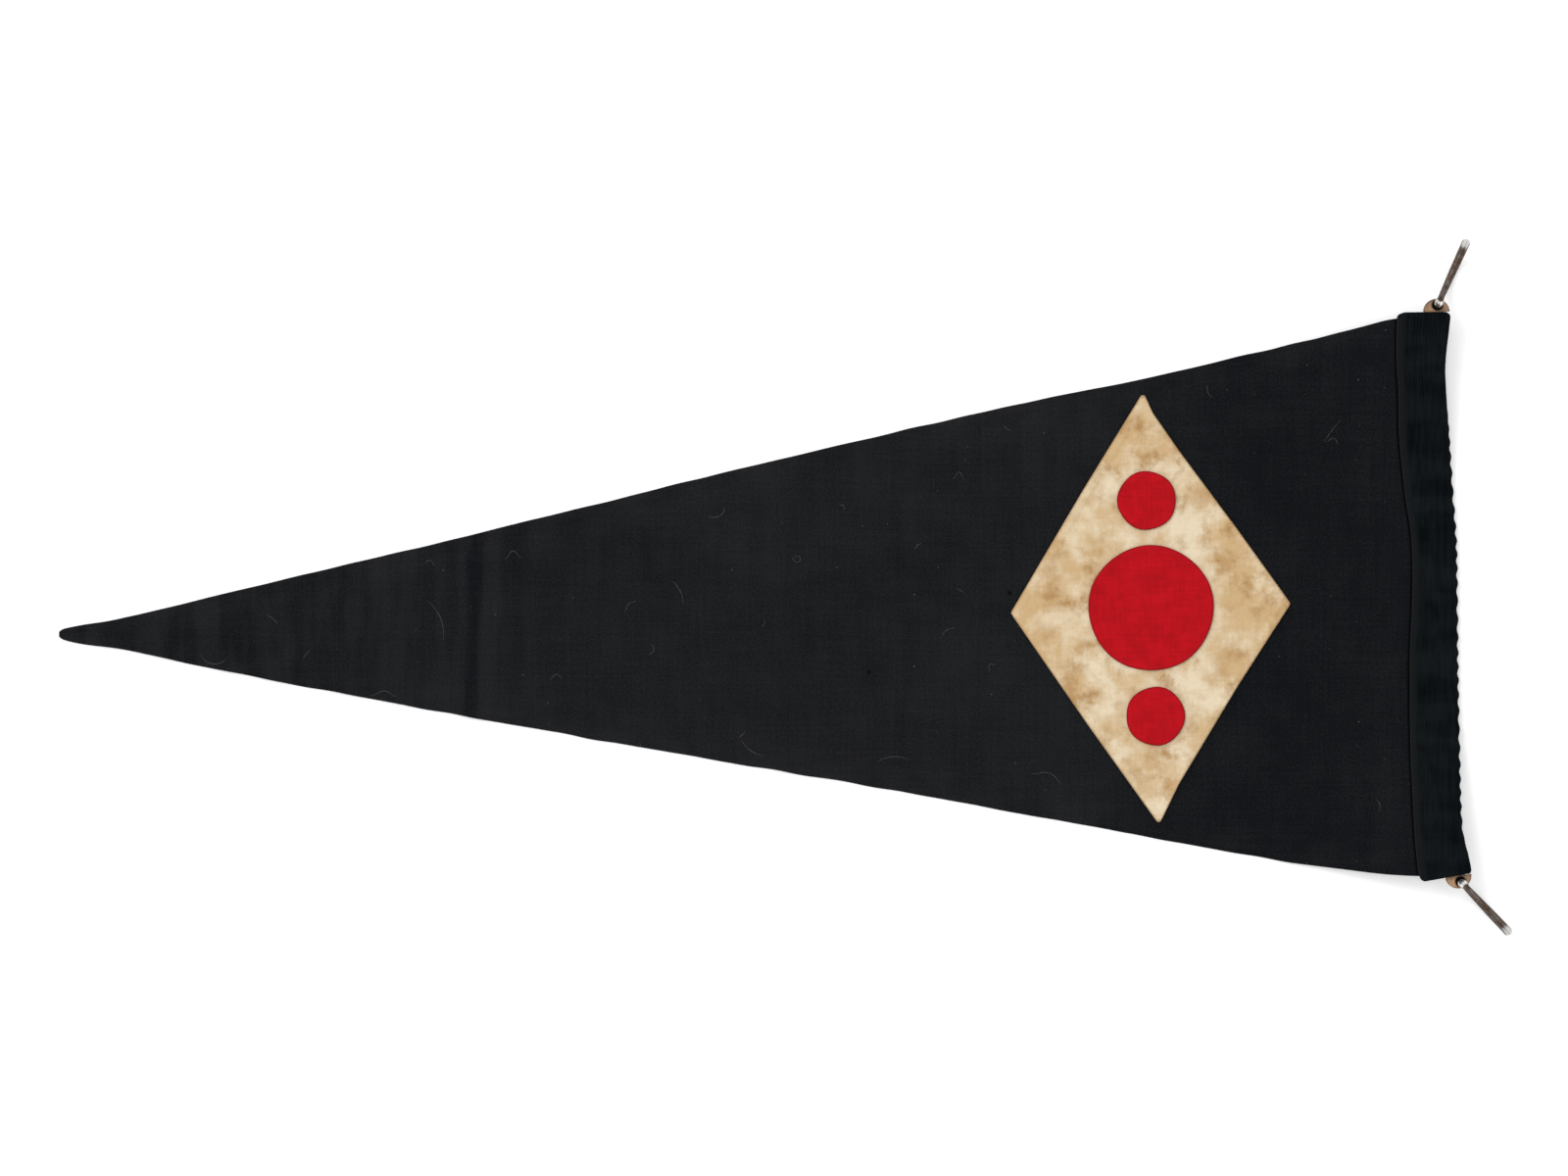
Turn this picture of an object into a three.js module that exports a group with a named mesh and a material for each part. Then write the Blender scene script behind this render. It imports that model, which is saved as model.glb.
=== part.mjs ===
// A long triangular pennant flag of black cotton, laid face up with its tip towards -X.
// Units are millimetres and +Z is up. The origin is on the resting surface, under the middle
// of the whole flag. Each piece is worked out flat and then laid over one soft relief, so the
// layers keep their distance from each other wherever the cloth rises.

import * as THREE from "three";

const { smoothstep } = THREE.MathUtils;

// Thicknesses of the cloths and the leather, and the space between two layers.
const COTTON = 1.0;
const TAPE = 1.0;
const LEATHER = 1.8;
const LAYER_GAP = 0.3;

// The narrow hem turned under along both long edges of the cotton: its width, how much thicker
// it is, and the step down from it. Near the tip both are held to a share of the width there.
const HEM_WIDTH = 4.5;
const HEM_EXTRA = 0.5;
const HEM_STEP = 1.2;
const TIP_HEM_SHARE = 0.25;
const TIP_STEP_SHARE = 0.08;

// The heading: a ribbed tape folded over the hoist end, with the cotton caught in its open side.
// The upper layer climbs from the cotton to the fold's full height over a share of its width.
const TAPE_CAUGHT = 9;
const TAPE_TOP_END = 140.4;
const TAPE_SECTIONS = 110;
const FOLD_RADIUS = 2.3;
const FOLD_CLIMB_SHARE = 0.42;

// Just before the heading the cotton climbs onto the tape's lower layer.
const CLIMB_LENGTH = 12;
const CLIMB_AHEAD = 4;

// The small puckers that the stitching drew along the fold, and where along it they lie.
const PUCKERS = { pitch: 8.1, depth: 0.45, drift: 1.3, driftLength: 61, from: 60, to: 265, fade: 20 };

// The steel rings, which stand on edge and carry the two corners of the hoist.
const RING_OUTER = 40;
const RING_WIRE = 4.1;
const CORNER_LIFT = 12;
const LIFT_FLAT = 16;
const LIFT_REACH = 100;

// Where each ring goes through its leather tab, and the way it points from there.
const UPPER_CORNER = { x: 331.8, y: 143.8, towards: 65.7 };
const LOWER_CORNER = { x: 344.0, y: -150.2, towards: -46.6 };
const CORNERS = [UPPER_CORNER, LOWER_CORNER];

// The leather tabs: how wide, how far in past the hole, the hole for the ring and the leather
// beyond it, how far the hole lies off the tab's middle, and the lean of the lower one.
const TAB_WIDTH = 11.8;
const TAB_BELOW_HOLE = 14;
const TAB_HOLE = 5.6;
const TAB_RIM = 1.8;
const TAB_ASIDE = 0.9;
const LOWER_TAB_LEAN = 0.21;

// The cotton's long edges from the rounded tip to the end inside the heading.
const OUTLINE = [
  { x: -370.1, upper: -22.4, lower: -25.1 },
  { x: -368.2, upper: -21.1, lower: -26.4 },
  { x: -364.2, upper: -20.1, lower: -27.6 },
  { x: -356.2, upper: -18.6, lower: -29.1 },
  { x: -340.2, upper: -16.1, lower: -31.1 },
  { x: -280.2, upper: -1.6, lower: -43.6 },
  { x: -160.2, upper: 26.9, lower: -66.1 },
  { x: -20.2, upper: 61.4, lower: -90.6 },
  { x: 39.8, upper: 75.4, lower: -100.6 },
  { x: 119.8, upper: 93.9, lower: -115.1 },
  { x: 179.8, upper: 105.9, lower: -126.1 },
  { x: 259.8, upper: 124.4, lower: -140.6 },
  { x: 299.8, upper: 133.9, lower: -146.1 },
  { x: 311.8, upper: 136.9, lower: -146.9 },
  { x: 334.0, upper: 139.4, lower: -147.4 },
];
const HOIST = 324;
const DRAWN_TO_HEADING = 92;

// Where the cotton gets its columns of points: close together where it is uneven.
const COLUMN_ZONES = [
  { from: -370.1, to: -368.2, pitch: 2 },
  { from: -368.2, to: -364.2, pitch: 4 },
  { from: -364.2, to: -340.2, pitch: 8 },
  { from: -340.2, to: -140, pitch: 6.5 },
  { from: -140, to: -12, pitch: 32 },
  { from: -12, to: 8, pitch: 5 },
  { from: 8, to: 232, pitch: 32 },
  { from: 232, to: 300, pitch: 8 },
  { from: 300, to: HOIST, pitch: 4 },
];

// The shares of the cotton's width, between its hems, that get a row of points.
const NEAR_EDGE = [0, 0.035, 0.07, 0.105, 0.14, 0.175, 0.21, 0.25, 0.3, 0.38];
const ROW_SHARES = [...NEAR_EDGE, 0.5, ...NEAR_EDGE.map((share) => 1 - share).reverse()];

// The heading's open edge and its fold, by the distance down from the upper end.
// slant is how much further up the fold's point of a section lies than its open edge.
const HEADING = [
  { down: 0, open: 314.8, fold: 338.0, slant: 0.2 },
  { down: 1.5, open: 312.5, fold: 339.3, slant: 0.0 },
  { down: 4.5, open: 312.0, fold: 339.2, slant: 0.0 },
  { down: 26.5, open: 312.0, fold: 336.9, slant: 0.0 },
  { down: 41.5, open: 312.8, fold: 337.4, slant: 0.0 },
  { down: 62.0, open: 313.3, fold: 339.0, slant: 0.0 },
  { down: 92.5, open: 316.5, fold: 341.0, slant: 0.0 },
  { down: 118.0, open: 320.0, fold: 342.8, slant: 0.0 },
  { down: 149.5, open: 320.0, fold: 343.3, slant: 0.0 },
  { down: 180.5, open: 318.9, fold: 343.6, slant: 0.0 },
  { down: 222.0, open: 319.3, fold: 344.3, slant: 0.0 },
  { down: 263.0, open: 320.9, fold: 345.5, slant: 0.5 },
  { down: 278.3, open: 322.3, fold: 348.5, slant: 1.8 },
  { down: 287.0, open: 323.4, fold: 350.0, slant: 3.3 },
  { down: 290.1, open: 324.8, fold: 349.8, slant: 4.0 },
];

// Ridges that old folds and handling left in the cotton. lean is sideways travel for each
// millimetre up the cloth.
const RIDGES = [
  { x: -341, lean: 0.1, height: 0.5, width: 9 },
  { x: -327, lean: 0.05, height: 0.5, width: 8 },
  { x: -311, lean: 0.15, height: 0.9, width: 11 },
  { x: -289, lean: -0.1, height: 1.0, width: 13 },
  { x: -256, lean: 0.1, height: 0.7, width: 16 },
  { x: -222, lean: 0.05, height: 0.7, width: 16 },
  { x: -190, lean: 0.1, height: 0.5, width: 15 },
  { x: -157.5, lean: 0.05, height: 1.5, width: 10 },
  { x: -2, lean: 0.0, height: 0.6, width: 9 },
];

// The cream patch, from its upper corner and on clockwise.
const PATCH = [
  { x: 182.8, y: 98.9 },
  { x: 187.8, y: 89.4 },
  { x: 201.3, y: 69.9 },
  { x: 231.0, y: 29.9 },
  { x: 258.3, y: -8.1 },
  { x: 231.3, y: -50.1 },
  { x: 201.3, y: -100.1 },
  { x: 191.0, y: -120.1 },
  { x: 154.8, y: -70.1 },
  { x: 115.3, y: -12.9 },
  { x: 152.3, y: 49.9 },
];
const PATCH_MIDDLE = { x: 187.0, y: -10.5 };
const PATCH_LEAN = -0.038;

// The red spots sewn down the middle of the patch, by their place along it.
const SPOTS = [
  { name: "spot_upper", along: 55, radius: 15 },
  { name: "spot_middle", along: 0, radius: 32 },
  { name: "spot_lower", along: -55, radius: 15 },
];
const SPOT_SIDES = 32;
const SPOT_UNEVEN = 0.35;

// The value of one column at a place along a table, on a smooth curve through its rows.
function read(table, place, column, at) {
  const last = table.length - 1;
  let i = 0;
  while (i < last - 1 && at > table[i + 1][place]) i += 1;
  const slope = (a, b) => (table[b][column] - table[a][column]) / (table[b][place] - table[a][place]);
  const slopeAt = (n) => slope(Math.max(n - 1, 0), Math.min(n + 1, last));
  const run = table[i + 1][place] - table[i][place];
  const t = (at - table[i][place]) / run;
  const fromStart = t * t * (3 - 2 * t);
  return (
    table[i][column] * (1 - fromStart) +
    table[i + 1][column] * fromStart +
    run * t * (1 - t) * ((1 - t) * slopeAt(i) - t * slopeAt(i + 1))
  );
}

// How far the cloth's underside rises above the surface it lies on.
function relief(x, y) {
  let rise = 0;
  for (const corner of CORNERS) {
    const away = Math.hypot(x - corner.x, y - corner.y);
    rise += CORNER_LIFT * (1 - smoothstep(away, LIFT_FLAT, LIFT_REACH));
  }
  for (const ridge of RIDGES) {
    const across = Math.abs(x - ridge.x - ridge.lean * y) / ridge.width;
    if (across < 1) rise += ridge.height * Math.cos((Math.PI / 2) * across) ** 2;
  }
  return rise;
}

// Lays a flat geometry over the relief.
function lie(geometry) {
  const points = geometry.getAttribute("position");
  for (let i = 0; i < points.count; i += 1) {
    points.setZ(i, points.getZ(i) + relief(points.getX(i), points.getY(i)));
  }
  return geometry;
}

// A closed sheet from a grid of [x, y, underside, top] places, columns first.
function closedSheet(grid) {
  const columns = grid.length;
  const rows = grid[0].length;
  const vertices = [];
  const faces = [];
  for (const column of grid) {
    for (const [x, y, under, top] of column) vertices.push(x, y, top, x, y, under);
  }
  const topAt = (i, j) => 2 * (i * rows + j);
  const underAt = (i, j) => topAt(i, j) + 1;
  const quad = (a, b, c, d) => faces.push(a, b, c, a, c, d);
  for (let i = 0; i < columns - 1; i += 1) {
    for (let j = 0; j < rows - 1; j += 1) {
      quad(topAt(i, j), topAt(i + 1, j), topAt(i + 1, j + 1), topAt(i, j + 1));
      quad(underAt(i, j), underAt(i, j + 1), underAt(i + 1, j + 1), underAt(i + 1, j));
    }
    quad(underAt(i, 0), underAt(i + 1, 0), topAt(i + 1, 0), topAt(i, 0));
    const end = rows - 1;
    quad(topAt(i, end), topAt(i + 1, end), underAt(i + 1, end), underAt(i, end));
  }
  for (let j = 0; j < rows - 1; j += 1) {
    quad(underAt(0, j), topAt(0, j), topAt(0, j + 1), underAt(0, j + 1));
    const end = columns - 1;
    quad(underAt(end, j), underAt(end, j + 1), topAt(end, j + 1), topAt(end, j));
  }
  const geometry = new THREE.BufferGeometry();
  geometry.setAttribute("position", new THREE.Float32BufferAttribute(vertices, 3));
  geometry.setIndex(faces);
  return geometry;
}

// The places along the cotton that get a column of points.
function cottonColumns() {
  const places = [];
  for (const { from, to, pitch } of COLUMN_ZONES) {
    const steps = Math.round((to - from) / pitch);
    for (let i = 0; i < steps; i += 1) places.push(from + ((to - from) * i) / steps);
  }
  places.push(HOIST);
  return places;
}

// How far a row of points lies from the lower edge, for each row across a given width.
function cottonRows(width, hem) {
  const step = Math.min(HEM_STEP, TIP_STEP_SHARE * width);
  const inner = width - 2 * (hem + step);
  return [0, hem, ...ROW_SHARES.map((share) => hem + step + share * inner), width - hem, width];
}

// The black triangle. Its hoist end follows the heading's open edge, a little way inside it,
// where it lifts to lie on the lower layer of tape.
function cotton() {
  const climbed = HOIST - TAPE_CAUGHT - CLIMB_AHEAD;
  const grid = cottonColumns().map((place) => {
    const upper = read(OUTLINE, "x", "upper", place);
    const lower = read(OUTLINE, "x", "lower", place);
    const width = upper - lower;
    const hem = Math.min(HEM_WIDTH, TIP_HEM_SHARE * width);
    const inHeading = smoothstep(place, climbed - CLIMB_LENGTH, climbed);
    const under = (TAPE + LAYER_GAP) * inHeading;
    return cottonRows(width, hem).map((offset, row, rows) => {
      const y = lower + offset;
      const openEdge = read(HEADING, "down", "open", TAPE_TOP_END - y);
      const drawn = smoothstep(place, HOIST - DRAWN_TO_HEADING, HOIST);
      const x = place + (openEdge + TAPE_CAUGHT - HOIST) * drawn;
      const atHem = row < 2 || row > rows.length - 3;
      const thick = COTTON + (atHem ? HEM_EXTRA * (1 - inHeading) : 0);
      return [x, y, under, under + thick];
    });
  });
  return lie(closedSheet(grid));
}

// One cross-section of the folded tape as [across, height] points, from the lower layer's open
// edge round the fold and back. across runs from the open edge to the fold.
function tapeProfile(width) {
  const rise = LAYER_GAP + COTTON + LAYER_GAP;
  const ramp = FOLD_CLIMB_SHARE * width;
  const bend = width - FOLD_RADIUS;
  const high = 2 * FOLD_RADIUS;
  const diagonal = FOLD_RADIUS * Math.SQRT1_2;
  const innerDiagonal = (FOLD_RADIUS - TAPE) * Math.SQRT1_2;
  return [
    [0, 0],
    [bend, 0],
    [bend + diagonal, FOLD_RADIUS - diagonal],
    [width, FOLD_RADIUS],
    [bend + diagonal, FOLD_RADIUS + diagonal],
    [bend, high],
    [ramp, high],
    [0, TAPE + rise + TAPE],
    [0, TAPE + rise],
    [ramp, high - TAPE],
    [bend, high - TAPE],
    [bend + innerDiagonal, FOLD_RADIUS + innerDiagonal],
    [width - TAPE, FOLD_RADIUS],
    [bend + innerDiagonal, FOLD_RADIUS - innerDiagonal],
    [bend, TAPE],
    [0, TAPE],
  ];
}

// How far a pucker moves the fold outwards, at a distance down the heading.
function pucker(down) {
  const { pitch, depth, drift, driftLength, from, to, fade } = PUCKERS;
  const turns = down / pitch + (drift * Math.sin((2 * Math.PI * down) / driftLength)) / (2 * Math.PI);
  const strength = smoothstep(down, from - fade, from + fade) - smoothstep(down, to - fade, to + fade);
  return depth * strength * Math.sin(2 * Math.PI * turns);
}

// The heading tape: cross-sections set side by side down the hoist, closed at both ends.
function headingTape() {
  const length = HEADING[HEADING.length - 1].down;
  const vertices = [];
  const faces = [];
  let around = 0;
  for (let i = 0; i < TAPE_SECTIONS; i += 1) {
    const down = (length * i) / (TAPE_SECTIONS - 1);
    const open = new THREE.Vector2(read(HEADING, "down", "open", down), TAPE_TOP_END - down);
    const slant = read(HEADING, "down", "slant", down);
    const fold = new THREE.Vector2(read(HEADING, "down", "fold", down), open.y + slant);
    const width = open.distanceTo(fold);
    const across = fold.clone().sub(open).divideScalar(width);
    const profile = tapeProfile(width);
    around = profile.length;
    for (const [s, z] of profile) {
      const stretched = s + pucker(down) * (s / width) ** 3;
      vertices.push(open.x + across.x * stretched, open.y + across.y * stretched, z);
    }
  }
  for (let i = 0; i < TAPE_SECTIONS - 1; i += 1) {
    for (let j = 0; j < around; j += 1) {
      const a = i * around + j;
      const b = i * around + ((j + 1) % around);
      faces.push(a, b + around, a + around, a, b, b + around);
    }
  }
  const endWidth = HEADING[0].fold - HEADING[0].open;
  const contour = tapeProfile(endWidth).map(([s, z]) => new THREE.Vector2(s, z));
  const lastSection = (TAPE_SECTIONS - 1) * around;
  for (const [a, b, c] of THREE.ShapeUtils.triangulateShape(contour, [])) {
    faces.push(a, c, b);
    faces.push(lastSection + a, lastSection + b, lastSection + c);
  }
  const geometry = new THREE.BufferGeometry();
  geometry.setAttribute("position", new THREE.Float32BufferAttribute(vertices, 3));
  geometry.setIndex(faces);
  return lie(geometry);
}

// A flat piece cut to an outline of points, lying with its underside at a height.
function cutPiece(outline, thick, height) {
  const shape = new THREE.Shape(outline.map(({ x, y }) => new THREE.Vector2(x, y)));
  const geometry = new THREE.ExtrudeGeometry(shape, { depth: thick, bevelEnabled: false });
  return lie(geometry.translate(0, 0, height));
}

// The outline of a hand-cut spot, with its place along the patch's leaning middle line.
function spotOutline({ along, radius }) {
  const middle = { x: PATCH_MIDDLE.x + PATCH_LEAN * along, y: PATCH_MIDDLE.y + along };
  return Array.from({ length: SPOT_SIDES }, (_, i) => {
    const angle = (2 * Math.PI * i) / SPOT_SIDES;
    const reach = radius + SPOT_UNEVEN * Math.sin(3 * angle + along) * Math.cos(2 * angle);
    return { x: middle.x + reach * Math.cos(angle), y: middle.y + reach * Math.sin(angle) };
  });
}

// A leather tab: a strip with a round end and a hole, lying between the layers of tape.
// It is drawn pointing along +Y from the middle of its hole. aside is how far the strip's
// middle line lies to the right of the hole.
function leatherTab(aside) {
  const half = TAB_WIDTH / 2;
  const tip = TAB_HOLE / 2 + TAB_RIM;
  const shape = new THREE.Shape();
  shape.moveTo(aside - half, -TAB_BELOW_HOLE);
  shape.lineTo(aside + half, -TAB_BELOW_HOLE);
  shape.lineTo(aside + half, tip - half);
  shape.absarc(aside, tip - half, half, 0, Math.PI, false);
  shape.lineTo(aside - half, -TAB_BELOW_HOLE);
  shape.holes.push(new THREE.Path().absarc(0, 0, TAB_HOLE / 2, 0, 2 * Math.PI, true));
  return new THREE.ExtrudeGeometry(shape, { depth: LEATHER, bevelEnabled: false, curveSegments: 12 });
}

// A steel ring in the XZ plane, with its middle at the origin.
function steelRing() {
  const middle = (RING_OUTER - RING_WIRE) / 2;
  return new THREE.TorusGeometry(middle, RING_WIRE / 2, 8, 28).rotateX(Math.PI / 2);
}

// How far the ring's middle lies out from its wire, at the height of the leather.
function ringReach() {
  const middle = (RING_OUTER - RING_WIRE) / 2;
  const leatherMiddle = CORNER_LIFT + FOLD_RADIUS;
  return Math.sqrt(middle ** 2 - (RING_OUTER / 2 - leatherMiddle) ** 2);
}

const blackCotton = new THREE.MeshStandardMaterial({ color: 0x1e1e20, roughness: 0.95, metalness: 0 });
const blackTape = new THREE.MeshStandardMaterial({ color: 0x14191b, roughness: 0.9, metalness: 0 });
const creamCotton = new THREE.MeshStandardMaterial({ color: 0xd3bd9b, roughness: 0.95, metalness: 0 });
const redCotton = new THREE.MeshStandardMaterial({ color: 0xae121e, roughness: 0.95, metalness: 0 });
const tanLeather = new THREE.MeshStandardMaterial({ color: 0xb78a63, roughness: 0.7, metalness: 0 });
const wornSteel = new THREE.MeshStandardMaterial({ color: 0x8a8178, roughness: 0.35, metalness: 1 });

const pennant = new THREE.Group();

function add(name, geometry, material) {
  const mesh = new THREE.Mesh(geometry, material);
  mesh.name = name;
  pennant.add(mesh);
  return mesh;
}

add("pennant_cloth", cotton(), blackCotton);
add("heading_tape", headingTape(), blackTape);

const patchHeight = COTTON + LAYER_GAP;
add("patch_cream", cutPiece(PATCH, COTTON, patchHeight), creamCotton);
for (const spot of SPOTS) {
  const height = patchHeight + COTTON + LAYER_GAP;
  add(spot.name, cutPiece(spotOutline(spot), COTTON, height), redCotton);
}

function addCorner(end, corner, tabTurn, aside) {
  const tab = add(`tab_${end}`, leatherTab(aside), tanLeather);
  tab.rotation.z = tabTurn;
  tab.position.set(corner.x, corner.y, CORNER_LIFT + FOLD_RADIUS - LEATHER / 2);
  const outward = corner.towards * THREE.MathUtils.DEG2RAD;
  const ring = add(`ring_${end}`, steelRing(), wornSteel);
  ring.rotation.z = outward;
  ring.position.set(
    corner.x + ringReach() * Math.cos(outward),
    corner.y + ringReach() * Math.sin(outward),
    RING_OUTER / 2,
  );
}

addCorner("upper", UPPER_CORNER, 0, -TAB_ASIDE);
addCorner("lower", LOWER_CORNER, Math.PI + LOWER_TAB_LEAN, TAB_ASIDE);

export default pennant;
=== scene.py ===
import math

import bmesh
import bpy
import numpy as np
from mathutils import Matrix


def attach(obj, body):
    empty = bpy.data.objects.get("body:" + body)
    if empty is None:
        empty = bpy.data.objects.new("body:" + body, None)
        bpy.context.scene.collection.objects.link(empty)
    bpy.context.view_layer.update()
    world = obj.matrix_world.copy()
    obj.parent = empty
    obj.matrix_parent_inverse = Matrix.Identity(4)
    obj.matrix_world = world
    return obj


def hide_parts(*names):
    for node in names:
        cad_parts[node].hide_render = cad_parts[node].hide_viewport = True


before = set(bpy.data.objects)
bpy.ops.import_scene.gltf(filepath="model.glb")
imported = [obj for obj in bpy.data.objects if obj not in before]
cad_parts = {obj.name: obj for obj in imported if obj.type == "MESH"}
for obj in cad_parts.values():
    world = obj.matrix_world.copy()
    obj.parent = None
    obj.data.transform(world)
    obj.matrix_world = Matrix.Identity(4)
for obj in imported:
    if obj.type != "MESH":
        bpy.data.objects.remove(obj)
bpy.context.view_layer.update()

# The flag lies on a plain pale surface, under light that is soft all round, with one broad
# window up to the left that brings out low folds and turned edges. None of this is the flag.
SURFACE_SIDE = 80.0
SURFACE_COLOUR = (0.95, 0.95, 0.95, 1.0)
SURFACE_GLOW = 0.24
SURFACE_ROUGHNESS = 0.8
SURFACE_SPECULAR = 0.1
SKY_STRENGTH = 0.95
WINDOW_PLACE = (-3.4, 3.0, 4.6)
WINDOW_SIZE = 3.4
WINDOW_POWER = 150.0


def give_inputs(tree, node, inputs):
    """Links the inputs of a node to other nodes, or sets them to plain values."""
    for key, value in inputs.items():
        if isinstance(value, bpy.types.NodeSocket):
            tree.links.new(value, node.inputs[key])
        else:
            node.inputs[key].default_value = value


def node_adder(tree):
    """A shorthand that adds one node to a tree, with its inputs and its settings."""

    def add(kind, inputs=None, **settings):
        node = tree.nodes.new(kind)
        for key, value in settings.items():
            setattr(node, key, value)
        give_inputs(tree, node, inputs or {})
        return node

    return add


def new_material(name):
    """Shorthands for a new material: one adds a node, one sets its shader and gives it back."""
    material = bpy.data.materials.new(name)
    material.use_nodes = True
    tree = material.node_tree

    def finish(inputs):
        give_inputs(tree, tree.nodes["Principled BSDF"], inputs)
        return material

    return node_adder(tree), finish


def lay_surface():
    half = SURFACE_SIDE / 2
    corners = [(-half, -half, 0), (half, -half, 0), (half, half, 0), (-half, half, 0)]
    mesh = bpy.data.meshes.new("surface")
    mesh.from_pydata(corners, [], [(0, 1, 2, 3)])
    surface = bpy.data.objects.new("surface", mesh)
    bpy.context.scene.collection.objects.link(surface)
    finish = new_material("pale_surface")[1]
    mesh.materials.append(finish({
        "Base Color": SURFACE_COLOUR,
        "Roughness": SURFACE_ROUGHNESS,
        "Specular IOR Level": SURFACE_SPECULAR,
        "Emission Color": SURFACE_COLOUR,
        "Emission Strength": SURFACE_GLOW,
    }))


def light_scene():
    world = bpy.data.worlds.new("soft_sky")
    world.use_nodes = True
    sky = world.node_tree.nodes["Background"]
    sky.inputs["Color"].default_value = (1.0, 1.0, 1.0, 1.0)
    sky.inputs["Strength"].default_value = SKY_STRENGTH
    bpy.context.scene.world = world
    data = bpy.data.lights.new("window", "AREA")
    data.size = WINDOW_SIZE
    data.energy = WINDOW_POWER
    window = bpy.data.objects.new("window", data)
    window.location = WINDOW_PLACE
    window.rotation_mode = "QUATERNION"
    window.rotation_quaternion = (-window.location).to_track_quat("-Z", "Y")
    window.visible_camera = False
    bpy.context.scene.collection.objects.link(window)


lay_surface()
light_scene()
bpy.context.scene.view_settings.view_transform = "Standard"

# The photograph looks straight down. A pixel of it is half a millimetre on the surface, and
# the lens is long, so that the rings, which stand upright, are seen on edge.
PICTURE_WIDTH = 1600
PICTURE_HEIGHT = 1200
PIXEL = 0.0005
ORIGIN_ACROSS = 800.5
ORIGIN_DOWN = 599.75
CAMERA_HEIGHT = 12.0
SENSOR_WIDTH = 36.0


def place_camera():
    data = bpy.data.cameras.new("camera")
    data.sensor_width = SENSOR_WIDTH
    data.lens = SENSOR_WIDTH * CAMERA_HEIGHT / (PICTURE_WIDTH * PIXEL)
    data.clip_end = 100.0
    camera = bpy.data.objects.new("camera", data)
    across = (PICTURE_WIDTH / 2 - ORIGIN_ACROSS) * PIXEL
    up = (ORIGIN_DOWN - PICTURE_HEIGHT / 2) * PIXEL
    camera.location = (across, up, CAMERA_HEIGHT)
    bpy.context.scene.collection.objects.link(camera)
    bpy.context.scene.camera = camera


place_camera()

# The flag is one long triangle of black cotton in plain weave, with a narrow hem turned under
# along both long edges and a blunt tip. It lies flat but for the ridges of old folds, and the
# two corners at the hoist, which the upright rings hold off the surface.

# From here on sizes are in millimetres, and a mesh becomes metres as it is made.
MM = 0.001
COTTON_THICK = 1.0
HEM_WIDTH = 4.5
HEM_EXTRA = 0.4
HEM_STEP = 1.8
HEM_SEAM = 3.5
HEM_GROOVE = 0.1
HEM_GROOVE_WIDTH = 0.35
HEM_PUCKER = 0.2
HEM_PUCKER_REACH = 7.0
HEM_PUCKER_WAVES = (5, 13)
HEM_SEWN_FROM = -352.0
HEM_ROWS = np.array([0, 0.08, 0.22, 0.42, 0.75, 1.6, 2.6, 3.1, 3.5, 3.9, 4.5, 5.1, 5.7, 6.3])
HEM_SEAM_ROW = 8
TIP_HEM_SHARE = 0.25
TIP_COLUMNS = [-370.1, -369.8, -369.3, -368.7, -368.0, -367.0, -365.5, -363.5, -361.0]
COLUMN_PITCH = 2.3
INNER_ROWS = 90
EDGE_WAVER = 0.35
EDGE_WAVER_GROWS = (-360, -330)
EDGE_WAVES = (14, 40)
EDGE_BLUNT = 0.25
HOIST_END = 324.0
DRAWN_TO_HEADING = 92.0
LAYER_GAP = 0.3
TAPE_THICK = 1.0
TAPE_TOP_END = 140.4
CAUGHT_IN_TAPE = 9.0
CLIMB_LENGTH = 12.0
CLIMB_AHEAD = 4.0
CORNER_LIFT = 12.0
LIFT_FLAT = 16.0
LIFT_REACH = 100.0
UPPER_CORNER = (331.8, 143.8)
LOWER_CORNER = (344.0, -150.2)
SOFT_WAVES = 0.25
SOFT_WAVE_LENGTHS = (28, 75)

# Place along the flag, upper edge, lower edge.
COTTON_EDGES = np.array([
    (-370.1, -22.4, -25.1),
    (-368.2, -21.1, -26.4),
    (-364.2, -20.1, -27.6),
    (-356.2, -18.6, -29.1),
    (-340.2, -16.1, -31.1),
    (-280.2, -1.6, -43.6),
    (-160.2, 26.9, -66.1),
    (-20.2, 61.4, -90.6),
    (39.8, 75.4, -100.6),
    (119.8, 93.9, -115.1),
    (179.8, 105.9, -126.1),
    (259.8, 124.4, -140.6),
    (299.8, 133.9, -146.1),
    (311.8, 136.9, -146.9),
    (334.0, 139.4, -147.4),
])

# Distance down the heading, its open edge, its fold, and how far the fold slants up.
HEADING = np.array([
    (0.0, 314.8, 338.0, 0.2),
    (1.5, 312.5, 339.3, 0.0),
    (4.5, 312.0, 339.2, 0.0),
    (26.5, 312.0, 336.9, 0.0),
    (41.5, 312.8, 337.4, 0.0),
    (62.0, 313.3, 339.0, 0.0),
    (92.5, 316.5, 341.0, 0.0),
    (118.0, 320.0, 342.8, 0.0),
    (149.5, 320.0, 343.3, 0.0),
    (180.5, 318.9, 343.6, 0.0),
    (222.0, 319.3, 344.3, 0.0),
    (263.0, 320.9, 345.5, 0.5),
    (278.3, 322.3, 348.5, 1.8),
    (287.0, 323.4, 350.0, 3.3),
    (290.1, 324.8, 349.8, 4.0),
])

# Old ridges: place, sideways travel for each millimetre up, height, half width.
COTTON_RIDGES = [
    (-341, 0.10, 0.5, 9),
    (-327, 0.05, 0.5, 8),
    (-311, 0.15, 0.9, 11),
    (-289, -0.10, 1.0, 13),
    (-256, 0.10, 0.7, 16),
    (-222, 0.05, 0.7, 16),
    (-190, 0.10, 0.5, 15),
    (-157.5, 0.05, 1.5, 10),
    (-2, 0.00, 0.6, 9),
]


def ease(value, start, end):
    t = np.clip((value - start) / (end - start), 0.0, 1.0)
    return t * t * (3.0 - 2.0 * t)


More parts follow.
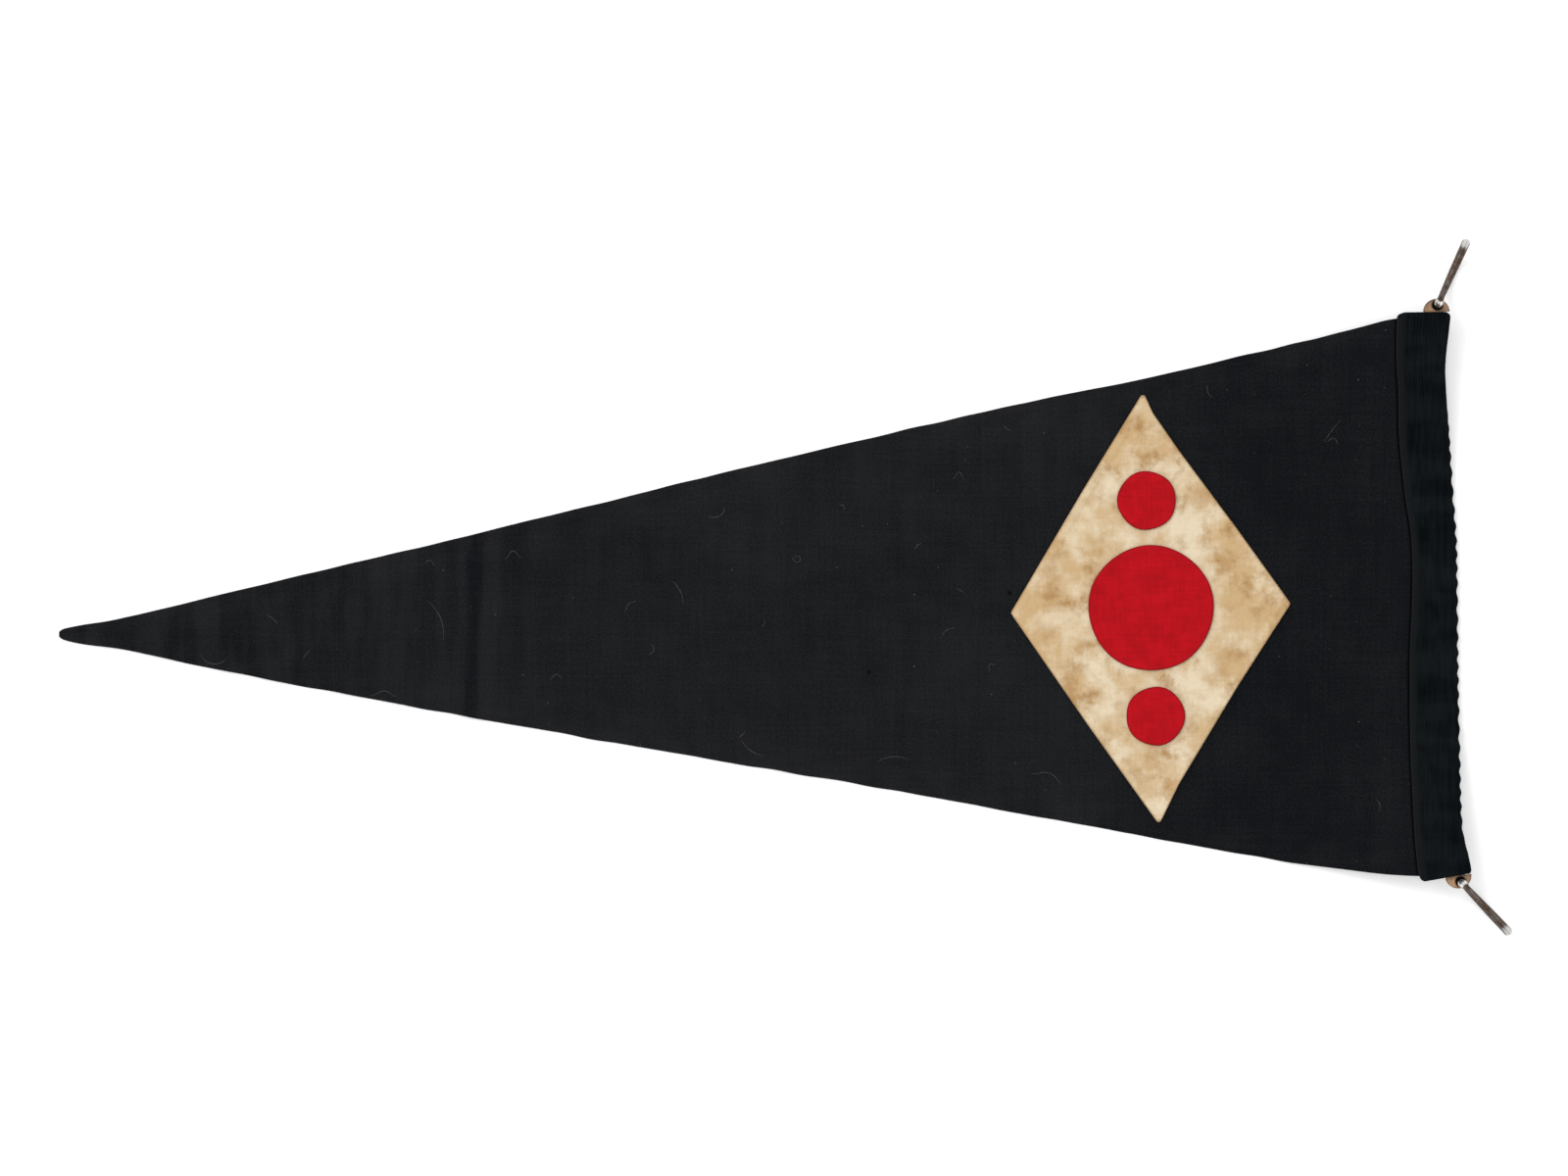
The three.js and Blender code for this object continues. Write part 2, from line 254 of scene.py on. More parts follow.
def read_table(table, column, at):
    """A column of a table at a place along it, on a smooth curve through the rows."""
    places = table[:, 0]
    values = table[:, column]
    slopes = np.gradient(values, places)
    slopes[1:-1] = (values[2:] - values[:-2]) / (places[2:] - places[:-2])
    i = np.clip(np.searchsorted(places, at, side="right") - 1, 0, len(places) - 2)
    run = places[i + 1] - places[i]
    t = (at - places[i]) / run
    nearer = t * t * (3.0 - 2.0 * t)
    bend = run * t * (1.0 - t) * ((1.0 - t) * slopes[i] - t * slopes[i + 1])
    return values[i] * (1.0 - nearer) + values[i + 1] * nearer + bend


def waver(x, y, seed, shortest, longest, count=14):
    """Soft unevenness between -1 and 1, from waves that run in all directions."""
    random = np.random.default_rng(seed)
    total = np.zeros(np.broadcast(x, y).shape)
    for _ in range(count):
        length = random.uniform(shortest, longest)
        heading = random.uniform(0.0, 2.0 * math.pi)
        shift = random.uniform(0.0, 2.0 * math.pi)
        along = x * math.cos(heading) + y * math.sin(heading)
        total += np.sin(2.0 * math.pi * along / length + shift)
    return np.clip(total / math.sqrt(count), -2.0, 2.0) / 2.0


def relief(x, y):
    """How far the cloth's underside is above the surface. Every layer lies over this."""
    rise = np.zeros(np.broadcast(x, y).shape)
    for corner_x, corner_y in (UPPER_CORNER, LOWER_CORNER):
        away = np.hypot(x - corner_x, y - corner_y)
        rise += CORNER_LIFT * (1.0 - ease(away, LIFT_FLAT, LIFT_REACH))
    for place, lean, height, width in COTTON_RIDGES:
        across = np.clip(np.abs(x - place - lean * y) / width, 0.0, 1.0)
        rise += height * np.cos(math.pi / 2.0 * across) ** 2
    return rise + SOFT_WAVES * (1.0 + waver(x, y, 11, *SOFT_WAVE_LENGTHS)) / 2.0


def turned_edge(inset, thick, extra, band, step):
    """Underside and top of a cloth with a turned edge, by the distance in from its fold."""
    half = (thick + extra * (1.0 - ease(inset, band, band + step))) / 2.0
    inside = np.clip(inset / half, 0.0, 1.0)
    rounded = half * np.maximum(np.sqrt(1.0 - (1.0 - inside) ** 2), EDGE_BLUNT)
    return half - rounded, half + rounded


def quads_of(columns, rows, wrap_columns=False, wrap_rows=False):
    """Faces over a grid of points, joined to itself in either direction."""
    index = np.arange(columns * rows).reshape(columns, rows)
    if wrap_columns:
        index = np.concatenate([index, index[:1]])
    if wrap_rows:
        index = np.concatenate([index, index[:, :1]], axis=1)
    quads = [index[:-1, :-1], index[1:, :-1], index[1:, 1:], index[:-1, 1:]]
    return np.stack(quads, axis=-1).reshape(-1, 4).tolist()


def grid_of(*parts):
    """A grid of points, or of places in a UV map, from a grid of each part of them."""
    return np.stack(np.broadcast_arrays(*parts), axis=-1)


def close_mesh(name, points, faces, material, uv=None):
    """A mesh with its faces turned outwards, its material, and a UV for each point if given."""
    mesh = bpy.data.meshes.new(name)
    mesh.from_pydata((points.reshape(-1, 3) * MM).tolist(), [], faces)
    mesh.materials.append(material)
    if uv is not None:
        corners = np.zeros(len(mesh.loops), dtype=np.int32)
        mesh.loops.foreach_get("vertex_index", corners)
        layer = mesh.uv_layers.new(name="cloth")
        layer.data.foreach_set("uv", uv.reshape(-1, 2)[corners].astype(np.float32).ravel())
    shell = bmesh.new()
    shell.from_mesh(mesh)
    bmesh.ops.recalc_face_normals(shell, faces=shell.faces)
    shell.to_mesh(mesh)
    shell.free()
    return mesh


def sheet_mesh(name, upper, lower, material, uv, holed=False):
    """A closed sheet between two grids of points, which run round its hole if it has one."""
    columns, rows = upper.shape[:2]
    count = 2 * rows
    faces = quads_of(columns, count, wrap_columns=holed, wrap_rows=True)
    ends = () if holed else (0, (columns - 1) * count)
    for start in ends:
        for row in range(rows - 1):
            far = count - 1 - row
            faces.append([start + row, start + row + 1, start + far - 1, start + far])
    points = np.concatenate([upper, lower[:, ::-1]], axis=1)
    uv = np.concatenate([uv, uv[:, ::-1]], axis=1)
    return close_mesh(name, points, faces, material, uv)


def add_piece(name, mesh, replaced=()):
    """A finished piece of the flag, shaded smooth and attached to the root, and the solids it
    stands for, which it hides.
    """
    mesh.shade_smooth()
    piece = bpy.data.objects.new(name, mesh)
    bpy.context.scene.collection.objects.link(piece)
    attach(piece, "root")
    if replaced:
        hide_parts(*replaced)
    return piece


def work_out(add, operation, first, second=0.0):
    return add("ShaderNodeMath", {0: first, 1: second}, operation=operation).outputs[0]


def sum_of(add, first, *others):
    for other in others:
        first = work_out(add, "ADD", first, other)
    return first


def product_of(add, first, *others):
    for other in others:
        first = work_out(add, "MULTIPLY", first, other)
    return first


def between(add, value, start, end, low=0.0, high=1.0):
    """Goes smoothly from low to high as a value goes from start to end."""
    inputs = {"Value": value, "From Min": start, "From Max": end, "To Min": low, "To Max": high}
    node = add("ShaderNodeMapRange", inputs, interpolation_type="SMOOTHSTEP")
    return node.outputs["Result"]


def between_places(add, place, start, end, low=0.0, high=1.0):
    """The same from one place on the flag to another."""
    return between(add, place, start * MM, end * MM, low, high)


def near_edge(add, inset, full, end, most=1.0):
    """How strongly an edge shows: most up to one distance in from it, nothing past another."""
    return between(add, inset, full * FLAT_UV, end * FLAT_UV, most, 0.0)


def dye(add, share, first, second):
    """A colour that goes from the first to the second by a share."""
    node = add("ShaderNodeMix", {0: share, 6: first, 7: second}, data_type="RGBA")
    return node.outputs[2]


def place_on(add):
    return add("ShaderNodeTexCoord").outputs["Object"]


def flat_place(add):
    """Where a point is by its piece's UV map: distances along and in from edges, or turns."""
    return add("ShaderNodeUVMap", uv_map="cloth").outputs[0]


def grain(add, place, stretch, detail=2.0, roughness=0.5):
    """Unevenness between 0 and 1, with so many patches to the metre across and up."""
    mapped = add("ShaderNodeMapping", {"Vector": place, "Scale": (*stretch, 1.0)})
    inputs = {"Vector": mapped.outputs[0], "Scale": 1.0, "Detail": detail, "Roughness": roughness}
    return add("ShaderNodeTexNoise", inputs, noise_dimensions="2D").outputs["Fac"]


def mottled(add, place, stretch, low, high, detail=2.0, roughness=0.5, start=0.3, end=0.7):
    """Goes from low to high with a grain, as the grain goes from start to end."""
    return between(add, grain(add, place, stretch, detail, roughness), start, end, low, high)


def slubs_of(add, place, along, across, detail=2.0):
    """Thick and thin places along both threads of a cloth, between 0 and 2."""
    warp = grain(add, place, (along, across), detail)
    return sum_of(add, warp, grain(add, place, (across, along), detail))


def axes_of(add, place):
    parts = add("ShaderNodeSeparateXYZ", {0: place})
    return parts.outputs[0], parts.outputs[1]


def plain_weave(add, place, thread):
    """Height of threads that pass over and under each other."""
    turn = math.pi / (thread * MM)
    waves = [work_out(add, "SINE", product_of(add, axis, turn)) for axis in axes_of(add, place)]
    return work_out(add, "ABSOLUTE", product_of(add, *waves))


def bump(add, height, strength, depth):
    inputs = {"Strength": strength, "Distance": depth * MM, "Height": height}
    return add("ShaderNodeBump", inputs).outputs[0]


def matt(add, colour, height, strength, depth, roughness, specular):
    """What the shader of a matt finish is given: its colour, its fine relief and its sheen."""
    return {
        "Base Color": colour,
        "Normal": bump(add, height, strength, depth),
        "Roughness": roughness,
        "Specular IOR Level": specular,
    }


# How far a millimetre of a piece reaches in its UV map.
FLAT_UV = 0.01
COTTON_THREAD = 0.8
COTTON_SLUBS = (22, 650, 3)
COTTON_DARK = (0.0046, 0.0052, 0.0066, 1.0)
COTTON_PALE = (0.0157, 0.0161, 0.0177, 1.0)
# The dark of the two spots, also used for the painted shadow beside the heading.
COTTON_SPOT_AND_SHADOW = (0.0012, 0.0013, 0.0016, 1.0)
COTTON_DUST = (0.16, 0.16, 0.16, 1.0)
COTTON_SURFACE = {"strength": 0.55, "depth": 0.25, "roughness": 0.95, "specular": 0.05}
COTTON_SLUBS_SHOWN = (0.72, 1.28, 0.0, 0.16)
COTTON_SLUBS_RAISED = 0.8
COTTON_WEAVE_SHOWN = 0.14
# Uneven tones: patches to the metre across and up, what is added where the grain is low and
# where it is high, its detail and roughness, and where in the grain that begins and ends.
COTTON_FADED = [
    ((7, 9), 0.0, 0.26, 4, 0.6),
    ((60, 60), 0.03, 0.16, 4, 0.6),
    ((900, 900), -0.17, 0.23, 2, 0.6),
]
# How the tone changes along the flag: from and to, and what is added at each.
COTTON_ALONG = [
    (-300, 120, 0.01, 0.13),
    (120, 270, 0.0, -0.35),
]
# Painted shading of low ripples near the tip, in soft lighter and darker bands, and how it fades
# along the flag.
RIPPLE_SHADING = ((90, 13), 0.14, -0.20, 2, 0.5, 0.38, 0.64)
RIPPLE_SHADING_FADE = (-270, -50, 1.0, 0.22)
HEM_RUBBED = ((30, 45), 0.02, 0.26, 3, 0.5, 0.40, 0.66)
HEM_RUBBED_REACH = (2, 22)
SHADE_AT_HEADING = (0.7, 1.7, 0.9)
# Two small dark spots in the cloth, across and up.
COTTON_SPOTS = [(114.8, -2.6), (43.0, -43.1)]
COTTON_SPOT_FADES = (0.6, 1.7, 0.8, 0.0)
# The sharpest old fold has painted shade on one side, and on the other a paler band of painted
# light and rubbed wear. Each has four places across the fold: where its tone begins, is full,
# begins to fade, and ends.
CREASE_AT = -158.0
CREASE_LEAN = 0.05
CREASE_SHADE = (-6.0, -0.5, -1.0, 6.5)
CREASE_LIT_AND_RUBBED = (2.0, 6.0, 8.0, 22.0)
CREASE_SHADE_DEPTH = (-60, 20, -0.30, -0.50)
CREASE_LIT_AND_RUBBED_PALE = 0.2
# Dust lies in specks, one to a cell, and in most cells there is none.
DUST_CELLS = 75.0
DUST_SIZE = (0.7, 1.0, 0.0, 0.022)
DUST_RAGGED = ((2500, 2500), 0.4, 1.3, 1)
DUST_SHOWN = (0.15, 0.75)


def stripe(add, place, begins, full, fades, ends):
    """Rises to one and falls back to nothing as a place passes four others."""
    rise = between_places(add, place, begins, full)
    return product_of(add, rise, between_places(add, place, fades, ends, 1.0, 0.0))


def crease_shade_and_light(add, x, y):
    """Painted shade on one side of the sharpest old fold, and painted light with rubbed wear on
    the other; the fold leans a little and is darker higher up.
    """
    away = sum_of(add, x, product_of(add, y, -CREASE_LEAN), -CREASE_AT * MM)
    depth = between_places(add, y, *CREASE_SHADE_DEPTH)
    # Painted shade on the fold's dark side, deeper higher up.
    dark = product_of(add, stripe(add, away, *CREASE_SHADE), depth)
    # Painted light, with rubbed wear, on the fold's pale side.
    return sum_of(add, dark, product_of(add, stripe(add, away, *CREASE_LIT_AND_RUBBED), CREASE_LIT_AND_RUBBED_PALE))


def dust(add, place):
    """Ragged specks, each of its own size and strength."""
    cells = {"Vector": place, "Scale": DUST_CELLS}
    speck = add("ShaderNodeTexVoronoi", cells, voronoi_dimensions="2D")
    chance = add("ShaderNodeSeparateColor", {0: speck.outputs["Color"]})
    reach = between(add, chance.outputs[0], *DUST_SIZE)
    ragged = product_of(add, reach, mottled(add, place, *DUST_RAGGED))
    inside = work_out(add, "LESS_THAN", speck.outputs["Distance"], ragged)
    return product_of(add, inside, between(add, chance.outputs[1], 0.0, 1.0, *DUST_SHOWN))


def black_cotton():
    """Faded black plain weave: slubs, painted ripple shading, painted shade and light at one
    crease that is also rubbed, rubbed hems, dust, two dark spots and a painted shadow by the
    heading.
    """
    add, finish = new_material("black_cotton")
    place = place_on(add)
    x, y = axes_of(add, place)
    threads = plain_weave(add, place, COTTON_THREAD)
    slubs = slubs_of(add, place, *COTTON_SLUBS)
    tone = product_of(add, threads, COTTON_WEAVE_SHOWN)
    tone = sum_of(add, tone, between(add, slubs, *COTTON_SLUBS_SHOWN))
    for patches in COTTON_FADED:
        tone = sum_of(add, tone, mottled(add, place, *patches))
    for change in COTTON_ALONG:
        tone = sum_of(add, tone, between_places(add, x, *change))
    # Painted shading of ripples, strongest near the tip.
    ripple_shading = mottled(add, place, *RIPPLE_SHADING)
    faded_ripple_shading = product_of(add, ripple_shading, between_places(add, x, *RIPPLE_SHADING_FADE))
    to_heading, inset = axes_of(add, flat_place(add))
    rub = mottled(add, place, *HEM_RUBBED)
    rubbed = product_of(add, rub, near_edge(add, inset, *HEM_RUBBED_REACH))
    tone = sum_of(add, tone, faded_ripple_shading, crease_shade_and_light(add, x, y), rubbed)
    colour = dye(add, tone, COTTON_DARK, COTTON_PALE)
    colour = dye(add, dust(add, place), colour, COTTON_DUST)
    level = add("ShaderNodeVectorMath", {0: place, 1: (1.0, 1.0, 0.0)}, operation="MULTIPLY")
    for across, up in COTTON_SPOTS:
        ends = {0: level.outputs[0], 1: (across * MM, up * MM, 0.0)}
        away = add("ShaderNodeVectorMath", ends, operation="DISTANCE").outputs["Value"]
        colour = dye(add, between_places(add, away, *COTTON_SPOT_FADES), colour, COTTON_SPOT_AND_SHADOW)
    # Painted shadow of the heading's raised open edge on the cotton beside it.
    colour = dye(add, near_edge(add, to_heading, *SHADE_AT_HEADING), colour, COTTON_SPOT_AND_SHADOW)
    height = sum_of(add, threads, product_of(add, slubs, COTTON_SLUBS_RAISED))
    return finish(matt(add, colour, height, **COTTON_SURFACE))


def make_cotton():
    start = TIP_COLUMNS[-1] + COLUMN_PITCH
    even = np.arange(start, HOIST_END - 1, COLUMN_PITCH)
    columns = np.concatenate([TIP_COLUMNS, even, [HOIST_END]])
    place = columns[:, None]
    settled = ease(place, *EDGE_WAVER_GROWS) * EDGE_WAVER
    upper = read_table(COTTON_EDGES, 1, place) + settled * waver(place, 0, 21, *EDGE_WAVES)
    lower = read_table(COTTON_EDGES, 2, place) + settled * waver(place, 0, 22, *EDGE_WAVES)
    width = upper - lower
    narrow = np.minimum(1.0, TIP_HEM_SHARE * width / HEM_WIDTH)
    margin = HEM_ROWS[-1] * narrow
    share = np.linspace(0, 1, INNER_ROWS + 2)[1:-1]
    inner = margin + share * (width - 2 * margin)
    offset = np.concatenate([HEM_ROWS * narrow, inner, width - HEM_ROWS[::-1] * narrow], axis=1)
    inset = np.minimum(offset, width - offset) / narrow
    y = lower + offset
    drawn = ease(place, HOIST_END - DRAWN_TO_HEADING, HOIST_END)
    open_edge = read_table(HEADING, 1, TAPE_TOP_END - y)
    x = place + (open_edge + CAUGHT_IN_TAPE - HOIST_END) * drawn
    climbed = HOIST_END - CAUGHT_IN_TAPE - CLIMB_AHEAD
    in_heading = ease(place, climbed - CLIMB_LENGTH, climbed)
    extra = HEM_EXTRA * (1.0 - in_heading)
    under, top = turned_edge(inset, COTTON_THICK, extra, HEM_WIDTH, HEM_STEP)
    groove = HEM_GROOVE * np.exp(-((inset - HEM_SEAM) / HEM_GROOVE_WIDTH) ** 2)
    puckered = (1.0 + waver(x, y, 31, *HEM_PUCKER_WAVES)) / 2.0
    pucker = HEM_PUCKER * puckered * np.exp(-inset / HEM_PUCKER_REACH)
    base = relief(x, y) + pucker + (TAPE_THICK + LAYER_GAP) * in_heading
    top_side = grid_of(x, y, base + top - groove * (1.0 - in_heading))
    under_side = grid_of(x, y, base + under)
    to_heading = np.maximum(open_edge - x, -1.0)
    uv = grid_of(to_heading, inset) * FLAT_UV
    mesh = sheet_mesh("cotton_triangle", top_side, under_side, cotton_finish, uv)
    sewn = (columns > HEM_SEWN_FROM) & (columns < climbed - CLIMB_LENGTH)
    seams = [top_side[sewn, HEM_SEAM_ROW], top_side[sewn, -1 - HEM_SEAM_ROW]]
    return add_piece("cotton_triangle", mesh, ["pennant_cloth"]), seams


cotton_finish = black_cotton()
cotton_triangle, hem_seams = make_cotton()

# The hems are held by one row of small black running stitches each, sunk into the cotton, a
# millimetre short of the hem's inner edge. The rows on the other pieces are laid the same way.
HEM_PITCH = 2.7
HEM_STITCH = 1.9
HEM_THREAD = 0.34
THREAD_BLACK = (0.010, 0.010, 0.011, 1.0)
THREAD_TWIST = (3000, 3000)
THREAD_TWIST_SHOWN = (0.35, 0.65)
THREAD_DARKER = 0.6
THREAD_SURFACE = {"strength": 0.4, "depth": 0.1, "roughness": 0.8, "specular": 0.2}
STITCH_SWAY = 0.12
STITCH_HALF = (0.42, 0.54)
STITCH_SEGMENTS = 8
STITCH_RINGS = 5


def darkened(colour, share):
    return (*(share * part for part in colour[:3]), 1.0)


def thread_finish(name, colour):
    """Twisted sewing thread with a fine twill on it."""
    add, finish = new_material(name)
    place = place_on(add)
    twist = grain(add, place, THREAD_TWIST, 1)
    shown = between(add, twist, *THREAD_TWIST_SHOWN)
    twisted = dye(add, shown, darkened(colour, THREAD_DARKER), colour)
    return finish(matt(add, twisted, twist, **THREAD_SURFACE))


def stitch_row_tree():
    """Geometry nodes that lay separate stitches along the lines of a mesh."""
    tree = bpy.data.node_groups.new("stitch_row", "GeometryNodeTree")
    named = {}
    for label, kind in (
        ("Lines", "NodeSocketGeometry"),
        ("Pitch", "NodeSocketFloat"),
        ("Stitch Length", "NodeSocketFloat"),
        ("Thread", "NodeSocketFloat"),
        ("Turn", "NodeSocketFloat"),
        ("Seed", "NodeSocketInt"),
        ("Finish", "NodeSocketMaterial"),
    ):
        socket = tree.interface.new_socket(name=label, in_out="INPUT", socket_type=kind)
        named[label] = socket.identifier
    tree.interface.new_socket(name="Stitches", in_out="OUTPUT", socket_type="NodeSocketGeometry")
    add = node_adder(tree)
    given = add("NodeGroupInput").outputs

    def at_random(low, high):
        inputs = {2: low, 3: high, "Seed": given["Seed"]}
        return add("FunctionNodeRandomValue", inputs, data_type="FLOAT").outputs[1]

    line = add("GeometryNodeMeshToCurve", {0: given["Lines"]}).outputs[0]
    even = {"Curve": line, "Length": given["Pitch"]}
    spaced = add("GeometryNodeResampleCurve", even, mode="LENGTH")
    tangent = add("GeometryNodeInputTangent").outputs[0]
    along = add("FunctionNodeAlignRotationToVector", {"Vector": tangent}, axis="X")
    angle = sum_of(add, given["Turn"], at_random(-STITCH_SWAY, STITCH_SWAY))
    turn = add("FunctionNodeAxisAngleToRotation", {"Axis": (0, 0, 1), "Angle": angle})
    turned = {"Rotation": along.outputs[0], "Rotate By": turn.outputs[0]}
    lying = add("FunctionNodeRotateRotation", turned, rotation_space="LOCAL")
    thread = given["Thread"]
    size = add("ShaderNodeCombineXYZ", {0: given["Stitch Length"], 1: thread, 2: thread})
    halved = {0: size.outputs[0], "Scale": at_random(*STITCH_HALF)}
    scaled = add("ShaderNodeVectorMath", halved, operation="SCALE")
    ball = {"Segments": STITCH_SEGMENTS, "Rings": STITCH_RINGS, "Radius": 1.0}
    laid = add("GeometryNodeInstanceOnPoints", {
        "Points": spaced.outputs[0],
        "Instance": add("GeometryNodeMeshUVSphere", ball).outputs[0],
        "Rotation": lying.outputs[0],
        "Scale": scaled.outputs[0],
    })
    real = add("GeometryNodeRealizeInstances", {0: laid.outputs[0]}).outputs[0]
    finished = add("GeometryNodeSetMaterial", {"Geometry": real, "Material": given["Finish"]})
    add("NodeGroupOutput", {0: finished.outputs[0]})
    return tree, named


def sew(name, lines, finish, pitch, stitch, thread, turn=0.0, closed=False, seed=1):
    """A row of stitches along each line of points, as one plain piece."""
    points = np.concatenate(lines) * MM
    edges = []
    start = 0
    for line in lines:
        end = start + len(line)
        edges += [(i, i + 1) for i in range(start, end - 1)]
        if closed:
            edges.append((end - 1, start))
        start = end
    guide = bpy.data.meshes.new(name + "_line")
    guide.from_pydata(points.tolist(), edges, [])
    holder = bpy.data.objects.new(name + "_line", guide)
    bpy.context.scene.collection.objects.link(holder)
    modifier = holder.modifiers.new("stitches", "NODES")
    modifier.node_group = stitch_row
    values = {
        "Pitch": pitch * MM,
        "Stitch Length": stitch * MM,
        "Thread": thread * MM,
        "Turn": turn,
        "Seed": seed,
        "Finish": finish,
    }
    for label, value in values.items():
        modifier[stitch_inputs[label]] = value
    bpy.context.view_layer.update()
    seen = holder.evaluated_get(bpy.context.evaluated_depsgraph_get())
    mesh = bpy.data.meshes.new_from_object(seen)
    mesh.name = name
    holder.modifiers.remove(modifier)
    bpy.data.objects.remove(holder)
    bpy.data.meshes.remove(guide)
    return add_piece(name, mesh)


stitch_row, stitch_inputs = stitch_row_tree()
black_thread = thread_finish("black_thread", THREAD_BLACK)
hem_stitches = sew(
    "hem_stitches", hem_seams, black_thread, HEM_PITCH, HEM_STITCH, HEM_THREAD
)

# The heading is a heavy ribbed tape, folded lengthwise over the hoist end of the cotton and
# sewn down near its open edge. The seam drew small puckers along the lower part of the fold.
FOLD_RADIUS = 2.3
FOLD_STEPS = 24
FOLD_CLIMB_SHARE = 0.42
FOLD_ROUNDING_SHARE = 0.6
TAPE_LENGTH = 290.1
TAPE_CORNER = 1.6
TAPE_RIM = 0.5
TAPE_RIM_BELOW = 0.2
TAPE_EDGE_WAVER = 0.25
TAPE_EDGE_WAVES = (12, 45)
TAPE_SECTION_PITCH = 1.35
TAPE_END_SECTIONS = np.array([0, 0.1, 0.3, 0.6, 1.0, 1.6, 2.3, 3.1])
TAPE_EVEN_FROM = 4.2
TAPE_ROW_PITCH = 0.28
TAPE_EDGE_ROWS = np.array([0, 0.05, 0.15, 0.3, 0.5, 0.75])
TAPE_BACK_ROWS = 18
RIB_PITCH = 1.5
RIB_DEPTH = 0.08
SELVAGE = 4.2
RIBS_BEGIN = (3.9, 4.7)
TAPE_SEAM = 1.5
SEAM_GROOVE = 0.2
SEAM_GROOVE_WIDTH = 0.35
SEAM_RAISED = 0.08
PUCKER_PITCH = 8.1
PUCKER_DEPTH = 0.45
PUCKER_DRIFT = 1.3
PUCKER_DRIFT_LENGTH = 61.0
PUCKER_FROM = 60.0
PUCKER_TO = 265.0
PUCKER_FADE = 20.0
PUCKER_TROUGH = 0.5
PUCKER_TROUGH_HEIGHTS = (-3, 0.5)
TAPE_DARK = (0.0014, 0.0026, 0.0034, 1.0)
TAPE_PALE = (0.0074, 0.0100, 0.0112, 1.0)
TAPE_WEFT = 0.7
TAPE_BLACK = 0.2
TAPE_RIB_SHADING_SHOWN = ((26, 14), 0.02, 0.15, 2, 0.5, 0.38, 0.62)
TAPE_WORN = ((45, 45), 0.0, 0.25, 4, 0.6)
TAPE_PUCKER_SHADOWS = ((20, 75), -0.2, 0.12, 2, 0.5, 0.35, 0.65)
TAPE_STRAND = (500, 60)
TAPE_STRAND_SHOWN = (0.3, 0.7, 0.0, 0.3)
TAPE_STRAND_RAISED = 1.5
TAPE_SURFACE = {"strength": 0.4, "depth": 0.15, "roughness": 0.9, "specular": 0.03}
SELVAGE_COLOUR = (0.0078, 0.0090, 0.0098, 1.0)
SELVAGE_SHOWN = (2.2, 4.8, 0.85)
TAPE_EDGE_HIGHLIGHT = (0.0180, 0.0190, 0.0200, 1.0)
TAPE_EDGE_HIGHLIGHT_SHOWN = (0.3, 1.0, 0.5)
TAPE_PITCH = 2.6
TAPE_STITCH = 1.9
TAPE_THREAD = 0.42
THREAD_GREY = (0.0085, 0.0092, 0.0100, 1.0)


def ribbed_tape():
    """Blue-green black ribs that run down the heading with painted shade between them, painted
    shadows of puckers and a painted highlight on the open edge, over a plain greyer selvage.
    """
    add, finish = new_material("ribbed_tape")
    place = place_on(add)
    across, down = axes_of(add, flat_place(add))
    rib_turn = 2.0 * math.pi / (RIB_PITCH * FLAT_UV)
    weft_turn = 2.0 * math.pi / (TAPE_WEFT * FLAT_UV)
    rib = work_out(add, "COSINE", product_of(add, across, rib_turn))
    weft = work_out(add, "SINE", product_of(add, down, weft_turn))
    strand = grain(add, place, TAPE_STRAND, 2)
    tone = sum_of(
        add,
        # Painted shade in the grooves between the ribs, lighter on their tops.
        product_of(add, rib, mottled(add, place, *TAPE_RIB_SHADING_SHOWN)),
        TAPE_BLACK,
        mottled(add, place, *TAPE_WORN),
        # Painted shadows of puckers, as soft bands across the tape.
        mottled(add, place, *TAPE_PUCKER_SHADOWS),
        between(add, strand, *TAPE_STRAND_SHOWN),
    )
    colour = dye(add, tone, TAPE_DARK, TAPE_PALE)
    colour = dye(add, near_edge(add, across, *SELVAGE_SHOWN), colour, SELVAGE_COLOUR)
    # Painted highlight along the rounded open edge.
    colour = dye(add, near_edge(add, across, *TAPE_EDGE_HIGHLIGHT_SHOWN), colour, TAPE_EDGE_HIGHLIGHT)
    height = sum_of(add, weft, product_of(add, strand, TAPE_STRAND_RAISED))
    return finish(matt(add, colour, height, **TAPE_SURFACE))


def rounded_off(inset, radius):
    """How far a rounded edge falls back, by the distance in from it."""
    short = radius - np.minimum(inset, radius)
    return radius - np.sqrt(np.maximum(radius**2 - short**2, 0.0))


def tape_skin(width, fold, climb_from, climb_to, low):
    """A skin of the tape from its upper open edge round the fold, by the length along it."""
    bend = width - FOLD_RADIUS
    top_run = np.concatenate([TAPE_EDGE_ROWS, np.arange(1.0, bend, TAPE_ROW_PITCH)])
    climb = ease(top_run, 0, FOLD_CLIMB_SHARE * width)
    angles = np.radians(np.linspace(90, -90, FOLD_STEPS)[1:-1])
    back = np.linspace(bend, 0, TAPE_BACK_ROWS)
    across = np.concatenate([top_run, bend + fold * np.cos(angles), back])
    height = np.concatenate([
        climb_from + (climb_to - climb_from) * climb,
        FOLD_RADIUS + fold * np.sin(angles),
        np.full(len(back), low),
    ])
    return across, height


def puckers(down):
    """How strong the puckers are, by the distance down the heading, and their wave."""
    drift = PUCKER_DRIFT * np.sin(2 * math.pi * down / PUCKER_DRIFT_LENGTH)
    strength = ease(down, PUCKER_FROM - PUCKER_FADE, PUCKER_FROM + PUCKER_FADE)
    strength -= ease(down, PUCKER_TO - PUCKER_FADE, PUCKER_TO + PUCKER_FADE)
    return strength, np.sin(2 * math.pi * down / PUCKER_PITCH + drift)


